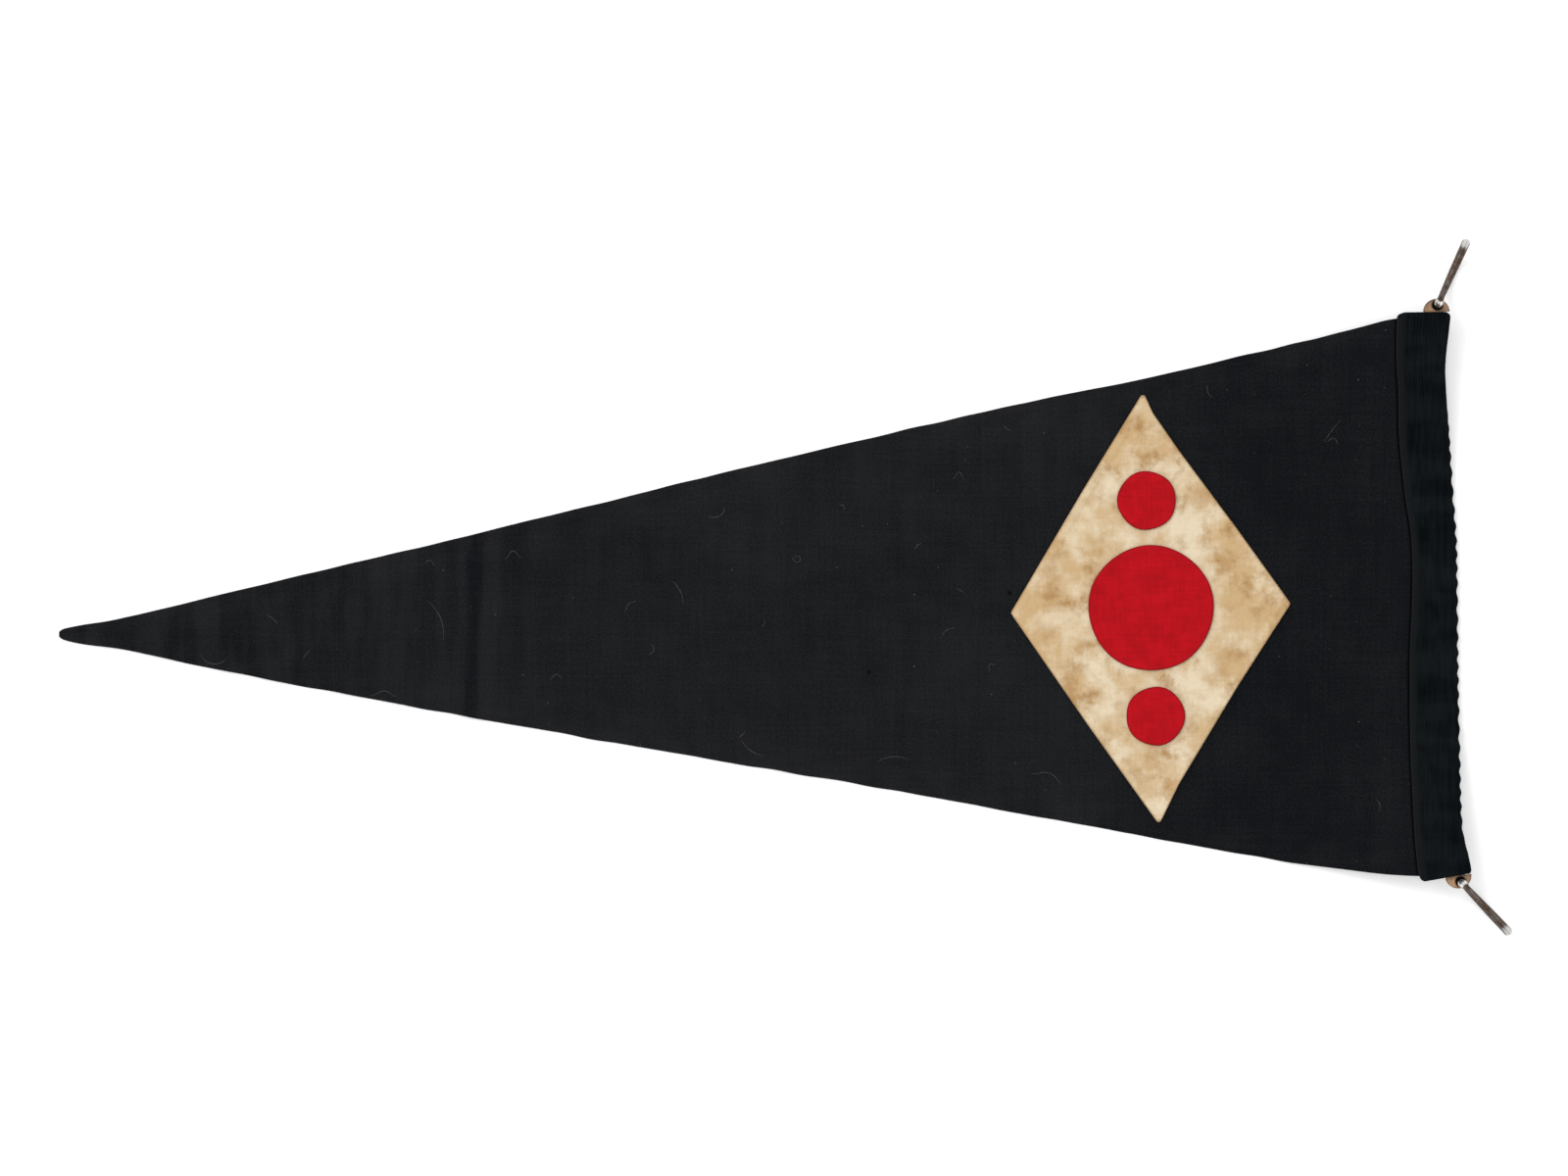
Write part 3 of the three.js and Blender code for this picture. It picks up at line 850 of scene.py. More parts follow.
def make_heading():
    count = int(TAPE_LENGTH / TAPE_SECTION_PITCH)
    even = np.linspace(TAPE_EVEN_FROM, TAPE_LENGTH - TAPE_EVEN_FROM, count)
    ends = TAPE_END_SECTIONS
    down = np.concatenate([ends, even, TAPE_LENGTH - ends[::-1]])[:, None]
    rounding = rounded_off(np.minimum(down, TAPE_LENGTH - down), TAPE_CORNER)
    open_x = read_table(HEADING, 1, down) + rounding
    open_y = TAPE_TOP_END - down
    slant = read_table(HEADING, 3, down)
    run = read_table(HEADING, 2, down) - FOLD_ROUNDING_SHARE * rounding - open_x
    width = np.hypot(run, slant)
    mean = float(width.mean())
    low = 2 * TAPE_THICK + 2 * LAYER_GAP + COTTON_THICK
    high = 2 * FOLD_RADIUS
    inner_fold = FOLD_RADIUS - TAPE_THICK
    outer, outer_z = tape_skin(mean, FOLD_RADIUS, low, high, 0.0)
    inner, inner_z = tape_skin(mean, inner_fold, low - TAPE_THICK, high - TAPE_THICK, TAPE_THICK)
    step = np.hypot(np.diff(outer), np.diff(outer_z))
    along = np.concatenate([[0.0], np.cumsum(step)])
    ribbed = RIB_DEPTH * ease(along, *RIBS_BEGIN)
    rib = ribbed * (0.5 - 0.5 * np.cos(2 * math.pi * along / RIB_PITCH))
    seam = SEAM_GROOVE * np.exp(-((along - TAPE_SEAM) / SEAM_GROOVE_WIDTH) ** 2)
    rim = rounded_off(along, TAPE_RIM)
    strength, wave = puckers(down)
    open_waver = TAPE_EDGE_WAVER * waver(down, 0, 41, *TAPE_EDGE_WAVES)

    def skin(across, height, sink):
        share = across / mean
        drawn = PUCKER_DEPTH * strength * wave * share**3
        s = share * width + drawn + open_waver * (1 - share) ** 4
        x = open_x + run / width * s
        y = open_y + slant / width * s
        on_top = height > FOLD_RADIUS
        trough = PUCKER_TROUGH * strength * (0.5 - 0.5 * wave) * share**2 * on_top
        trough = trough * ease(high - height, *PUCKER_TROUGH_HEIGHTS)
        return grid_of(x, y, relief(x, y) + height - sink - trough)

    upper = skin(outer, outer_z, np.where(outer_z > FOLD_RADIUS, rib + seam + rim, -rib))
    below = np.where(inner_z > FOLD_RADIUS, -TAPE_RIM_BELOW * rim, 0.0)
    lower = skin(inner, inner_z, below)
    uv = grid_of(along, down) * FLAT_UV
    mesh = sheet_mesh("folded_heading", upper, lower, tape_finish, uv)
    seam_row = int(np.argmin(np.abs(along - TAPE_SEAM)))
    sewn = upper[len(ends):-len(ends), seam_row] + np.array([0.0, 0.0, SEAM_RAISED])
    return add_piece("folded_heading", mesh, ["heading_tape"]), sewn


tape_finish = ribbed_tape()
folded_heading, heading_seam = make_heading()
grey_thread = thread_finish("grey_thread", THREAD_GREY)
heading_stitches = sew(
    "heading_stitches", [heading_seam], grey_thread, TAPE_PITCH, TAPE_STITCH,
    TAPE_THREAD,
)

# The patch is a diamond of cream cotton, stained and yellowed with age. Its edges are turned
# under and slip-stitched to the black cotton all round.
PATCH_OUTLINE = np.array([
    (182.1, 98.5),
    (183.8, 98.3),
    (187.8, 89.4),
    (201.3, 69.9),
    (231.0, 29.9),
    (258.3, -8.1),
    (231.3, -50.1),
    (201.3, -100.1),
    (191.8, -119.6),
    (190.3, -119.8),
    (154.8, -70.1),
    (115.3, -12.9),
    (152.3, 49.9),
])
PATCH_MIDDLE = np.array([187.0, -10.5])
PATCH_REACH = 60.0
PATCH_LEAN = -0.038
PATCH_INSETS = np.array([
    0, 0.06, 0.16, 0.32, 0.5, 0.9, 1.6, 2.5, 3.4, 4.0, 4.4, 4.8, 5.6, 7, 9, 12, 15, 18, 21, 24,
    27, 30, 33, 36, 39, 42, 45, 48, 51, 54, 57, 59.5,
])
PATCH_WRINKLE = 0.4
PATCH_WRINKLES = (7, 30, 22)
PATCH_CALM = 5.0
PATCH_PITCH = 4.4
PATCH_STITCH = 1.6
PATCH_THREAD = 0.36
# How the cloth lies: how far it is above the cotton, its thickness, how much thicker its turned
# edge is, how wide that edge is and how softly it ends, the pitch and depth of the dimples,
# and how far in from the edge the wrinkles are at their full height.
PATCH_CLOTH = {
    "under": 1.08,
    "thick": 1.0,
    "extra": 0.22,
    "turned": 4.0,
    "step": 0.8,
    "pitch": PATCH_PITCH,
    "dimple": 0.16,
    "calm": PATCH_CALM,
}
DIMPLE_REACH = 1.4
EDGE_PITCH = 1.3
SEWN_ROW = 4
SLIP_STITCH_TURN = 1.1
CREAM_CLEAN = (0.725, 0.612, 0.438, 1.0)
CREAM_AGED = (0.560, 0.388, 0.203, 1.0)
CREAM_STAIN = (0.385, 0.215, 0.080, 1.0)
CREAM_FOLD_SHADE = (0.290, 0.165, 0.075, 1.0)
CREAM_CREASE_SHADE = (0.300, 0.190, 0.095, 1.0)
CREAM_THREAD = 0.55
CREAM_SLUBS = (40, 900)
CREAM_SLUBS_SHOWN = (0.7, 1.3, -0.07, 0.07)
CREAM_SLUBS_RAISED = 0.35
CREAM_CLOUDED = ((46, 46), 0.0, 1.0, 5, 0.62)
CREAM_BLOTCHED = ((78, 78), 0.0, 1.0, 6, 0.62, 0.42, 0.76)
CREAM_FRECKLED = ((420, 420), 0.0, 0.2, 3, 0.6, 0.56, 0.8)
CREAM_BROAD = (22, 22)
CREAM_BLOTCHED_WHERE = (0.35, 0.60, 0.3, 1.0)
CREAM_CREASE_SHADE_GRAIN = (36, 52)
CREAM_CREASE_SHADE_WIDTH = (0.0, 0.018, 0.14, 0.0)
CREAM_CREASE_SHADE_WHERE = (0.4, 0.6)
CREAM_SURFACE = {"strength": 0.4, "depth": 0.2, "roughness": 0.92, "specular": 0.15}
CREAM_FOLD_SHADE_REACH = (0.2, 1.1, 0.65)
# Where it has aged: out from the middle line, and towards the two ends. From and to, and the
# share at each.
AGED_ASIDE = (20, 60, -0.1, 0.3)
AGED_UPWARDS = (50, 85, 0, 0.65)
AGED_DOWNWARDS = (-100, -70, 0.05, 0)
THREAD_CREAM = (0.50, 0.38, 0.24, 1.0)


def cream_cotton():
    """Cream plain weave with blotchy brown stains, yellower at its ends, with painted shade in
    thin creases and at the fold.
    """
    add, finish = new_material("cream_cotton")
    place = place_on(add)
    x, y = axes_of(add, place)
    threads = plain_weave(add, place, CREAM_THREAD)
    slubs = slubs_of(add, place, *CREAM_SLUBS)
    broad = grain(add, place, CREAM_BROAD, 3, 0.6)
    middle = float(PATCH_MIDDLE[0]) * MM
    aside = work_out(add, "ABSOLUTE", work_out(add, "SUBTRACT", x, middle))
    aged = sum_of(
        add,
        mottled(add, place, *CREAM_CLOUDED),
        between_places(add, aside, *AGED_ASIDE),
        between_places(add, y, *AGED_UPWARDS),
        between_places(add, y, *AGED_DOWNWARDS),
        between(add, slubs, *CREAM_SLUBS_SHOWN),
    )
    colour = dye(add, aged, CREAM_CLEAN, CREAM_AGED)
    blotch = mottled(add, place, *CREAM_BLOTCHED)
    blotch = product_of(add, blotch, between(add, broad, *CREAM_BLOTCHED_WHERE))
    stained = sum_of(add, blotch, mottled(add, place, *CREAM_FRECKLED))
    colour = dye(add, stained, colour, CREAM_STAIN)
    # Painted shade in thin winding creases.
    winding = work_out(add, "SUBTRACT", grain(add, place, CREAM_CREASE_SHADE_GRAIN, 3), 0.5)
    crease_shade_line = between(add, work_out(add, "ABSOLUTE", winding), *CREAM_CREASE_SHADE_WIDTH)
    crease_shade = product_of(add, crease_shade_line, between(add, broad, *CREAM_CREASE_SHADE_WHERE))
    colour = dye(add, crease_shade, colour, CREAM_CREASE_SHADE)
    inset = axes_of(add, flat_place(add))[0]
    # Painted shade on the turned fold's edge.
    colour = dye(add, near_edge(add, inset, *CREAM_FOLD_SHADE_REACH), colour, CREAM_FOLD_SHADE)
    height = sum_of(add, threads, product_of(add, slubs, CREAM_SLUBS_RAISED))
    return finish(matt(add, colour, height, **CREAM_SURFACE))


def around(outline, pitch):
    """Points round a closed outline, its corners a very little rounded, and their places."""
    ring = np.concatenate([outline, outline[:1]])
    length = np.concatenate([[0.0], np.cumsum(np.hypot(*np.diff(ring, axis=0).T))])
    runs = []
    for start, end in zip(length, length[1:]):
        runs.append(np.linspace(start, end, max(1, round((end - start) / pitch)), endpoint=False))
    at = np.concatenate(runs)
    points = grid_of(*(np.interp(at, length, ring[:, axis]) for axis in (0, 1)))
    before = np.roll(points, 1, axis=0)
    after = np.roll(points, -1, axis=0)
    return (before + 4 * points + after) / 6, at, length[-1]


def patch_wrinkle(x, y):
    return PATCH_WRINKLE * (1.0 + waver(x, y, 51, *PATCH_WRINKLES)) / 2.0


def cut_cloth(
    name, outline, middle, reach, insets, material,
    under, thick, extra, turned, step, pitch, dimple, calm,
):
    """A closed piece of cloth with turned edges, dimpled where each stitch pulls it down."""
    points, at, girth = around(outline, EDGE_PITCH)
    share = 1.0 - insets / reach
    flat = middle + (points - middle)[:, None, :] * share[None, :, None]
    x = flat[..., 0]
    y = flat[..., 1]
    low, high = turned_edge(insets, thick, extra, turned, step)
    stitches = round(girth / pitch)
    pull = 0.5 + 0.5 * np.cos(2 * math.pi * stitches * at / girth)
    dip = dimple * pull[:, None] * np.exp(-insets / DIMPLE_REACH)
    wrinkled = ease(insets, calm - PATCH_CALM, calm)
    base = relief(x, y) + patch_wrinkle(x, y) * wrinkled + under
    top_side = grid_of(x, y, base + high - dip * (high > thick / 2))
    under_side = grid_of(x, y, base + low)
    loop = np.concatenate([top_side[:, ::-1], under_side], axis=1)
    count, rows = loop.shape[:2]
    faces = quads_of(count, rows, wrap_columns=True)
    faces.append(list(range(0, count * rows, rows)))
    faces.append(list(range(rows - 1, count * rows, rows)))
    side = grid_of(insets, at[:, None]) * FLAT_UV
    uv = np.concatenate([side[:, ::-1], side], axis=1)
    return close_mesh(name, loop, faces, material, uv), top_side


cream_finish = cream_cotton()
patch_mesh, patch_top = cut_cloth(
    "diamond_patch", PATCH_OUTLINE, PATCH_MIDDLE, PATCH_REACH, PATCH_INSETS, cream_finish,
    **PATCH_CLOTH,
)
diamond_patch = add_piece("diamond_patch", patch_mesh, ["patch_cream"])
cream_thread = thread_finish("cream_thread", THREAD_CREAM)
patch_stitches = sew(
    "patch_stitches", [patch_top[:, SEWN_ROW]], cream_thread, PATCH_PITCH,
    PATCH_STITCH, PATCH_THREAD, turn=SLIP_STITCH_TURN, closed=True, seed=2,
)

# Three round spots of red cotton are sewn down the middle of the patch, a large one between
# two small ones. Each was cut by hand, and its edge is turned under and slip-stitched.
# Name, place along the patch and radius.
SPOTS = [
    ("spot_upper", 55.0, 15.0),
    ("spot_middle", 0.0, 32.0),
    ("spot_lower", -55.0, 15.0),
]
SPOT_POINTS = 160
SPOT_UNEVEN = 0.35
SPOT_EDGE_INSETS = [0, 0.06, 0.16, 0.3, 0.45, 0.8, 1.4, 2.2, 3.0, 3.4, 3.8, 4.2, 5.2]
SPOT_INNER_ROWS = 12
SPOT_CENTRE = 0.3
SPOT_PITCH = 3.2
SPOT_STITCH = 1.2
SPOT_THREAD = 0.3
SPOT_CLOTH = {
    "under": 2.2,
    "thick": 0.9,
    "extra": 0.22,
    "turned": 3.2,
    "step": 0.8,
    "pitch": SPOT_PITCH,
    "dimple": 0.12,
    "calm": 0.0,
}
RED_DEEP = (0.345, 0.0012, 0.0045, 1.0)
RED_BRIGHT = (0.490, 0.0024, 0.0090, 1.0)
RED_FOLD_SHADE = (0.180, 0.004, 0.008, 1.0)
RED_THREAD = 0.55
RED_SLUBS = (60, 900)
RED_SLUBS_SHOWN = (0.7, 1.3, 0.0, 0.4)
RED_SLUBS_RAISED = 0.6
RED_MOTTLED = ((110, 110), 0.1, 0.6, 4, 0.6)
RED_SURFACE = {"strength": 0.5, "depth": 0.2, "roughness": 0.9, "specular": 0.15}
RED_FOLD_SHADE_REACH = (0.2, 1.1, 0.6)
THREAD_RED = (0.32, 0.010, 0.018, 1.0)


def red_cotton():
    """Strong red plain weave, uneven in its dye, with painted shade at the turned fold."""
    add, finish = new_material("red_cotton")
    place = place_on(add)
    threads = plain_weave(add, place, RED_THREAD)
    slubs = slubs_of(add, place, *RED_SLUBS)
    mottle = mottled(add, place, *RED_MOTTLED)
    tone = sum_of(add, mottle, between(add, slubs, *RED_SLUBS_SHOWN))
    colour = dye(add, tone, RED_DEEP, RED_BRIGHT)
    inset = axes_of(add, flat_place(add))[0]
    # Painted shade on the turned fold's edge.
    colour = dye(add, near_edge(add, inset, *RED_FOLD_SHADE_REACH), colour, RED_FOLD_SHADE)
    height = sum_of(add, threads, product_of(add, slubs, RED_SLUBS_RAISED))
    return finish(matt(add, colour, height, **RED_SURFACE))


def make_spot(name, along_patch, radius):
    angle = np.linspace(0, 2 * math.pi, SPOT_POINTS, endpoint=False)
    uneven = SPOT_UNEVEN * np.sin(3 * angle + along_patch) * np.cos(2 * angle)
    centre = PATCH_MIDDLE + np.array([PATCH_LEAN * along_patch, along_patch])
    edge = centre + grid_of(np.cos(angle), np.sin(angle)) * (radius + uneven)[:, None]
    inner = np.linspace(SPOT_EDGE_INSETS[-1], radius - SPOT_CENTRE, SPOT_INNER_ROWS)[1:]
    insets = np.concatenate([SPOT_EDGE_INSETS, inner])
    mesh, top = cut_cloth(
        name + "_cloth", edge, centre, radius, insets, red_finish, **SPOT_CLOTH
    )
    spot = add_piece(name + "_cloth", mesh, [name])
    stitches = sew(
        name + "_stitches", [top[:, SEWN_ROW]], red_thread, SPOT_PITCH,
        SPOT_STITCH, SPOT_THREAD, turn=SLIP_STITCH_TURN, closed=True, seed=3,
    )


red_finish = red_cotton()
red_thread = thread_finish("red_thread", THREAD_RED)
for spot in SPOTS:
    make_spot(*spot)

# A tab of tan leather with a round head is caught in each end of the folded tape, and a ring
# goes through its punched hole. The leather is dry, and darker at its cut edges. Under each hole
# lies a sheet of black cotton as painted shade, which makes the hole dark; it has a hole of its
# own that fits closer round the wire.
UPPER_HOLE = (332.7, 143.9)
LOWER_HOLE = (344.5, -149.7)
UPPER_TOWARDS = 65.7
LOWER_TOWARDS = -46.6
# Name, hole, how it is turned, which side of it is away from the fold, how far below the hole
# the tape begins, and the solid.
TABS = [
    ("upper_leather", UPPER_HOLE, 0.0, -1, 3.12, "tab_upper"),
    ("lower_leather", LOWER_HOLE, math.pi + 0.21, 1, 2.75, "tab_lower"),
]
TAB_WIDTH = 9.8
TAB_STRIP_ASIDE = 2.1
TAB_SHOULDER = 0.1
TAB_HEAD = 6.8
TAB_HEAD_BACK = 3.45
TAB_HEAD_ASIDE = 0.5
TAB_HEAD_POINTS = 48
TAB_BELOW_HOLE = 14.0
TAB_HOLE = 2.55
TAB_UNDER = 13.4
TAB_THICK = 1.8
TAB_ROUNDING = 0.55
TAB_NEAR = np.array([0, 0.05, 0.15, 0.3, 0.5, 0.75])
TAB_RUNS = 12
TAB_PITCH = 0.45
TAB_UNEVEN = 0.06
TAB_WAVES = (2.5, 9)
HOLE_SHADE_THICK = 0.6
HOLE_SHADE_GAP = 0.08
HOLE_SHADE_HOLE = 1.9
HOLE_SHADE_OUTER = 3.05
HOLE_SHADE_OUTWARD = 1.07
HOLE_SHADE_ASIDE = -0.13
HOLE_SHADE_POINTS = 48
HOLE_SHADE_SHARES = np.array([0, 0.1, 0.35, 0.65, 0.9, 1.0])
HOLE_SHADE_ROUNDED = 0.2 * np.array([1, 0.3, 0, 0, 0.3, 1])
HOLE_SHADE_UNEVEN = 0.05
HOLE_SHADE_WAVES = (1.5, 4)
LEATHER_PALE = (0.420, 0.250, 0.135, 1.0)
LEATHER_TAN = (0.260, 0.150, 0.085, 1.0)
LEATHER_DARK = (0.060, 0.034, 0.020, 1.0)
LEATHER_PATCHES = (160, 160)
LEATHER_PATCHES_SHOWN = (0.32, 0.68)
LEATHER_PATCHES_RAISED = 1.2
LEATHER_PORES = 1900.0
LEATHER_RAGGED = 0.3
LEATHER_AT_EDGE = (0.1, 0.9, 0.9)
LEATHER_SURFACE = {"strength": 0.45, "depth": 0.3, "roughness": 0.68, "specular": 0.35}


def tan_leather():
    """Dry tan leather: fine pores, worn pale patches, and dark cut edges."""
    add, finish = new_material("tan_leather")
    place = place_on(add)
    inset = axes_of(add, flat_place(add))[0]
    patchy = grain(add, place, LEATHER_PATCHES, 4, 0.6)
    worn = between(add, patchy, *LEATHER_PATCHES_SHOWN)
    colour = dye(add, worn, LEATHER_TAN, LEATHER_PALE)
    shift = LEATHER_RAGGED * FLAT_UV
    ragged = sum_of(add, inset, between(add, patchy, 0.2, 0.8, -shift, shift))
    colour = dye(add, near_edge(add, ragged, *LEATHER_AT_EDGE), colour, LEATHER_DARK)
    pores = add("ShaderNodeTexVoronoi", {"Vector": place, "Scale": LEATHER_PORES})
    raised = product_of(add, patchy, LEATHER_PATCHES_RAISED)
    height = sum_of(add, pores.outputs["Distance"], raised)
    return finish(matt(add, colour, height, **LEATHER_SURFACE))


def tab_outline(away, into_tape):
    """The leather's outline round its hole: a round head, and a narrower strip in the tape."""
    start = math.asin((TAB_HEAD_BACK - into_tape) / TAB_HEAD)
    turn = np.linspace(start, math.pi - start, TAB_HEAD_POINTS)
    across = away * TAB_HEAD_ASIDE + TAB_HEAD * np.cos(turn)
    head = grid_of(across, TAB_HEAD * np.sin(turn) - TAB_HEAD_BACK)
    left = away * TAB_STRIP_ASIDE - TAB_WIDTH / 2
    right = left + TAB_WIDTH
    top = -into_tape - TAB_SHOULDER
    strip = [(left, top), (left, -TAB_BELOW_HOLE), (right, -TAB_BELOW_HOLE), (right, top)]
    return np.concatenate([head, strip])


def turned_about(centre, angle, along, aside):
    """Places that are so far along and aside of a direction from a centre."""
    x = centre[0] + along * math.cos(angle) - aside * math.sin(angle)
    y = centre[1] + along * math.sin(angle) + aside * math.cos(angle)
    return x, y


def make_tab(name, corner, turn, away, into_tape, node):
    points, at, _ = around(tab_outline(away, into_tape), TAB_PITCH)
    bearing = np.arctan2(points[:, 1], points[:, 0])
    hole = TAB_HOLE * grid_of(np.cos(bearing), np.sin(bearing))
    length = np.hypot(*(points - hole).T)[:, None]
    nearest = TAB_NEAR[-1]
    edge = np.tile(TAB_NEAR, (len(points), 1))
    middle = nearest + np.linspace(0, 1, TAB_RUNS)[1:-1] * (length - 2 * nearest)
    run = np.concatenate([edge, middle, length - TAB_NEAR[::-1]], axis=1)
    share = (run / length)[..., None]
    flat = points[:, None] * (1 - share) + hole[:, None] * share
    inset = np.minimum(run, length - run)
    rounding = rounded_off(inset, TAB_ROUNDING)
    x, y = turned_about(corner, turn, flat[..., 0], flat[..., 1])
    top = TAB_UNDER + TAB_THICK - rounding + TAB_UNEVEN * waver(x, y, 61, *TAB_WAVES)
    upper = grid_of(x, y, top)
    lower = grid_of(x, y, TAB_UNDER + rounding)
    uv = grid_of(inset, at[:, None]) * FLAT_UV
    mesh = sheet_mesh(name, upper, lower, leather_finish, uv, holed=True)
    return add_piece(name, mesh, [node])


def make_hole_shade(name, corner, towards):
    """A sheet of black cotton under the leather, put there as painted shade to darken its hole,
    with the wire's own hole in it.
    """
    turn = np.linspace(0, 2 * math.pi, HOLE_SHADE_POINTS, endpoint=False)[:, None]
    inner = 1 - HOLE_SHADE_SHARES
    outward = HOLE_SHADE_OUTWARD * inner
    middle = turned_about(corner, math.radians(towards), outward, HOLE_SHADE_ASIDE * inner)
    reach = HOLE_SHADE_HOLE + (HOLE_SHADE_OUTER - HOLE_SHADE_HOLE) * HOLE_SHADE_SHARES
    x = middle[0] + reach * np.cos(turn)
    y = middle[1] + reach * np.sin(turn)
    top = TAB_UNDER - HOLE_SHADE_GAP + HOLE_SHADE_UNEVEN * waver(x, y, 62, *HOLE_SHADE_WAVES)
    upper = grid_of(x, y, top - HOLE_SHADE_ROUNDED)
    lower = grid_of(x, y, top - HOLE_SHADE_THICK + HOLE_SHADE_ROUNDED)
    uv = np.ones((*x.shape, 2))
    mesh = sheet_mesh(name, upper, lower, cotton_finish, uv, holed=True)
    return add_piece(name, mesh)


leather_finish = tan_leather()
for tab in TABS:
    make_tab(*tab)
# Black sheets under the holes, painted shade that darkens them.
make_hole_shade("upper_hole_shade", UPPER_HOLE, UPPER_TOWARDS)
make_hole_shade("lower_hole_shade", LOWER_HOLE, LOWER_TOWARDS)

# The rings are round steel wire and stand upright in the holes of the leather, which has worn
# them thinner. The steel is tarnished brown. At the far ends it is rubbed bright and has a
# painted highlight, the small bead of the weld beside the leather has a painted highlight, and
# the flanks of the wire have painted shade.
RING_MIDDLE = 17.25
RING_OUTWARD = 0.45
RING_HEIGHT = 19.15
RING_LEAN = 0.4
RING_WIRE = 2.3
RING_UNEVEN = 0.02
RING_WAVES = (3, 12)
RING_WORN = 0.42
RING_WORN_SPREAD = 0.6
RING_BEAD_AT = 2.70
RING_BEAD_REACH = 0.15
RING_SECTIONS = 160
RING_SIDES = 28
RINGS = [
    ("upper_ring", (339.7, 159.4), UPPER_TOWARDS, "ring_upper"),
    ("lower_ring", (356.2, -162.1), LOWER_TOWARDS, "ring_lower"),
]
STEEL_BRIGHT = (0.48, 0.475, 0.46, 1.0)
STEEL_BEAD_HIGHLIGHT = (0.86, 0.85, 0.82, 1.0)
STEEL_TARNISH = (0.066, 0.048, 0.037, 1.0)
STEEL_RUST = (0.200, 0.105, 0.060, 1.0)
# How strong the painted highlight on the bead is, by the wire's turn from the middle of the bead,
# and how tarnished and shaded the wire is, by the cosine of its turn from the far end, which is
# rubbed bright and has a painted highlight.
STEEL_BEAD_HIGHLIGHT_SPREAD = (0.13, 0.22, 1.0, 0.0)
STEEL_AT_FAR_END = (0.67, 0.86, 1.0, 0.0)
STEEL_BEAD_HIGHLIGHT_LIFT = -1.1
STEEL_STREAKED = ((5, 60), -0.22, 0.12, 3, 0.5, 0.35, 0.65)
STEEL_FLANK_SHADE = (0.55, 0.95, 0.0, 0.75)
STEEL_PATCHES = (230.0, 4.0, 0.6)
STEEL_PATCHES_SHOWN = (0.35, 0.65, -0.15, 0.15)
STEEL_SPECKS = (900.0, 3.0, 0.6)
STEEL_SPECKS_SHOWN = (0.52, 0.66)
STEEL_SCRATCHES = (2600.0, 2.0)
STEEL_RUSTED_WHERE = (0.3, 1.0, 0.2, 0.8)
STEEL_ROUGHNESS = (0.28, 0.55)
STEEL_METALLIC = (1.0, 0.4)
STEEL_RELIEF = (0.3, 0.1)


def worn_steel():
    """Old steel wire: brown tarnish in patches, rust, scratches, a far end rubbed bright with a
    painted highlight, a painted highlight on the bead and painted shade on the flanks.
    """
    add, finish = new_material("worn_steel")
    flat = flat_place(add)
    place = place_on(add)

    def clouds(scale, detail, roughness=0.5):
        inputs = {"Vector": place, "Scale": scale, "Detail": detail, "Roughness": roughness}
        return add("ShaderNodeTexNoise", inputs).outputs[0]

    round_ring, round_wire = [product_of(add, axis, 2 * math.pi) for axis in axes_of(add, flat)]
    from_bead = work_out(add, "ABSOLUTE", work_out(add, "SUBTRACT", round_ring, RING_BEAD_AT))
    bead_highlight = between(add, from_bead, *STEEL_BEAD_HIGHLIGHT_SPREAD)
    sideways = work_out(add, "ABSOLUTE", work_out(add, "SINE", round_wire))
    tarnish_and_shade = sum_of(
        add,
        # The far end: rubbed bright steel with a painted highlight.
        between(add, work_out(add, "COSINE", round_ring), *STEEL_AT_FAR_END),
        between(add, clouds(*STEEL_PATCHES), *STEEL_PATCHES_SHOWN),
        # Painted shade on the wire's flanks, lighter along its middle.
        between(add, sideways, *STEEL_FLANK_SHADE),
        mottled(add, flat, *STEEL_STREAKED),
        # Painted highlight on the bead.
        product_of(add, bead_highlight, STEEL_BEAD_HIGHLIGHT_LIFT),
    )
    colour = dye(add, tarnish_and_shade, dye(add, bead_highlight, STEEL_BRIGHT, STEEL_BEAD_HIGHLIGHT), STEEL_TARNISH)
    specks = clouds(*STEEL_SPECKS)
    rust = between(add, specks, *STEEL_SPECKS_SHOWN)
    rust = product_of(add, rust, between(add, tarnish_and_shade, *STEEL_RUSTED_WHERE))
    scratched = sum_of(add, clouds(*STEEL_SCRATCHES), specks)
    return finish({
        "Base Color": dye(add, rust, colour, STEEL_RUST),
        "Roughness": between(add, tarnish_and_shade, 0.0, 1.0, *STEEL_ROUGHNESS),
        "Metallic": between(add, rust, 0.0, 1.0, *STEEL_METALLIC),
        "Normal": bump(add, scratched, *STEEL_RELIEF),
    })


def make_ring(name, centre, towards, node):
    turn = np.linspace(0, 2 * math.pi, RING_SECTIONS, endpoint=False)[:, None]
    side = np.linspace(0, 2 * math.pi, RING_SIDES, endpoint=False)[None, :]
    bead = np.exp(-((turn - RING_BEAD_AT) / RING_BEAD_REACH) ** 2)
    worn = RING_WORN * (0.5 - 0.5 * np.cos(turn)) ** RING_WORN_SPREAD
    uneven = RING_UNEVEN * waver(turn * RING_MIDDLE, side * 2, 71, *RING_WAVES)
    wire = RING_WIRE * (1.0 - worn * (1.0 - bead)) + uneven
    reach = RING_MIDDLE + wire * np.cos(side)
    up = reach * np.sin(turn)
    lean = math.radians(RING_LEAN)
    aside = wire * np.sin(side) + up * math.sin(lean)
    out = RING_OUTWARD + reach * np.cos(turn)
    x, y = turned_about(centre, math.radians(towards), out, aside)
    points = grid_of(x, y, RING_HEIGHT + up * math.cos(lean))
    faces = quads_of(RING_SECTIONS, RING_SIDES, wrap_columns=True, wrap_rows=True)
    uv = grid_of(turn, side) / (2 * math.pi)
    mesh = close_mesh(name, points, faces, steel_finish, uv)
    return add_piece(name, mesh, [node])


steel_finish = worn_steel()
for ring in RINGS:
    make_ring(*ring)

# Loose pale fibres lie caught on the black cotton: short curled hairs of lint, each only a
# few threads thick, which cling to the weave.
LINT_RADIUS = 0.075
LINT_POINTS = 24
LINT_SIDES = 5
LINT_GAP = 0.06
LINT_TAPER = (0.35, 0.65)
LINT_GRAIN = (1500, 1500)
LINT_THIN = 0.45
LINT_COLOUR = (0.155, 0.155, 0.16, 1.0)
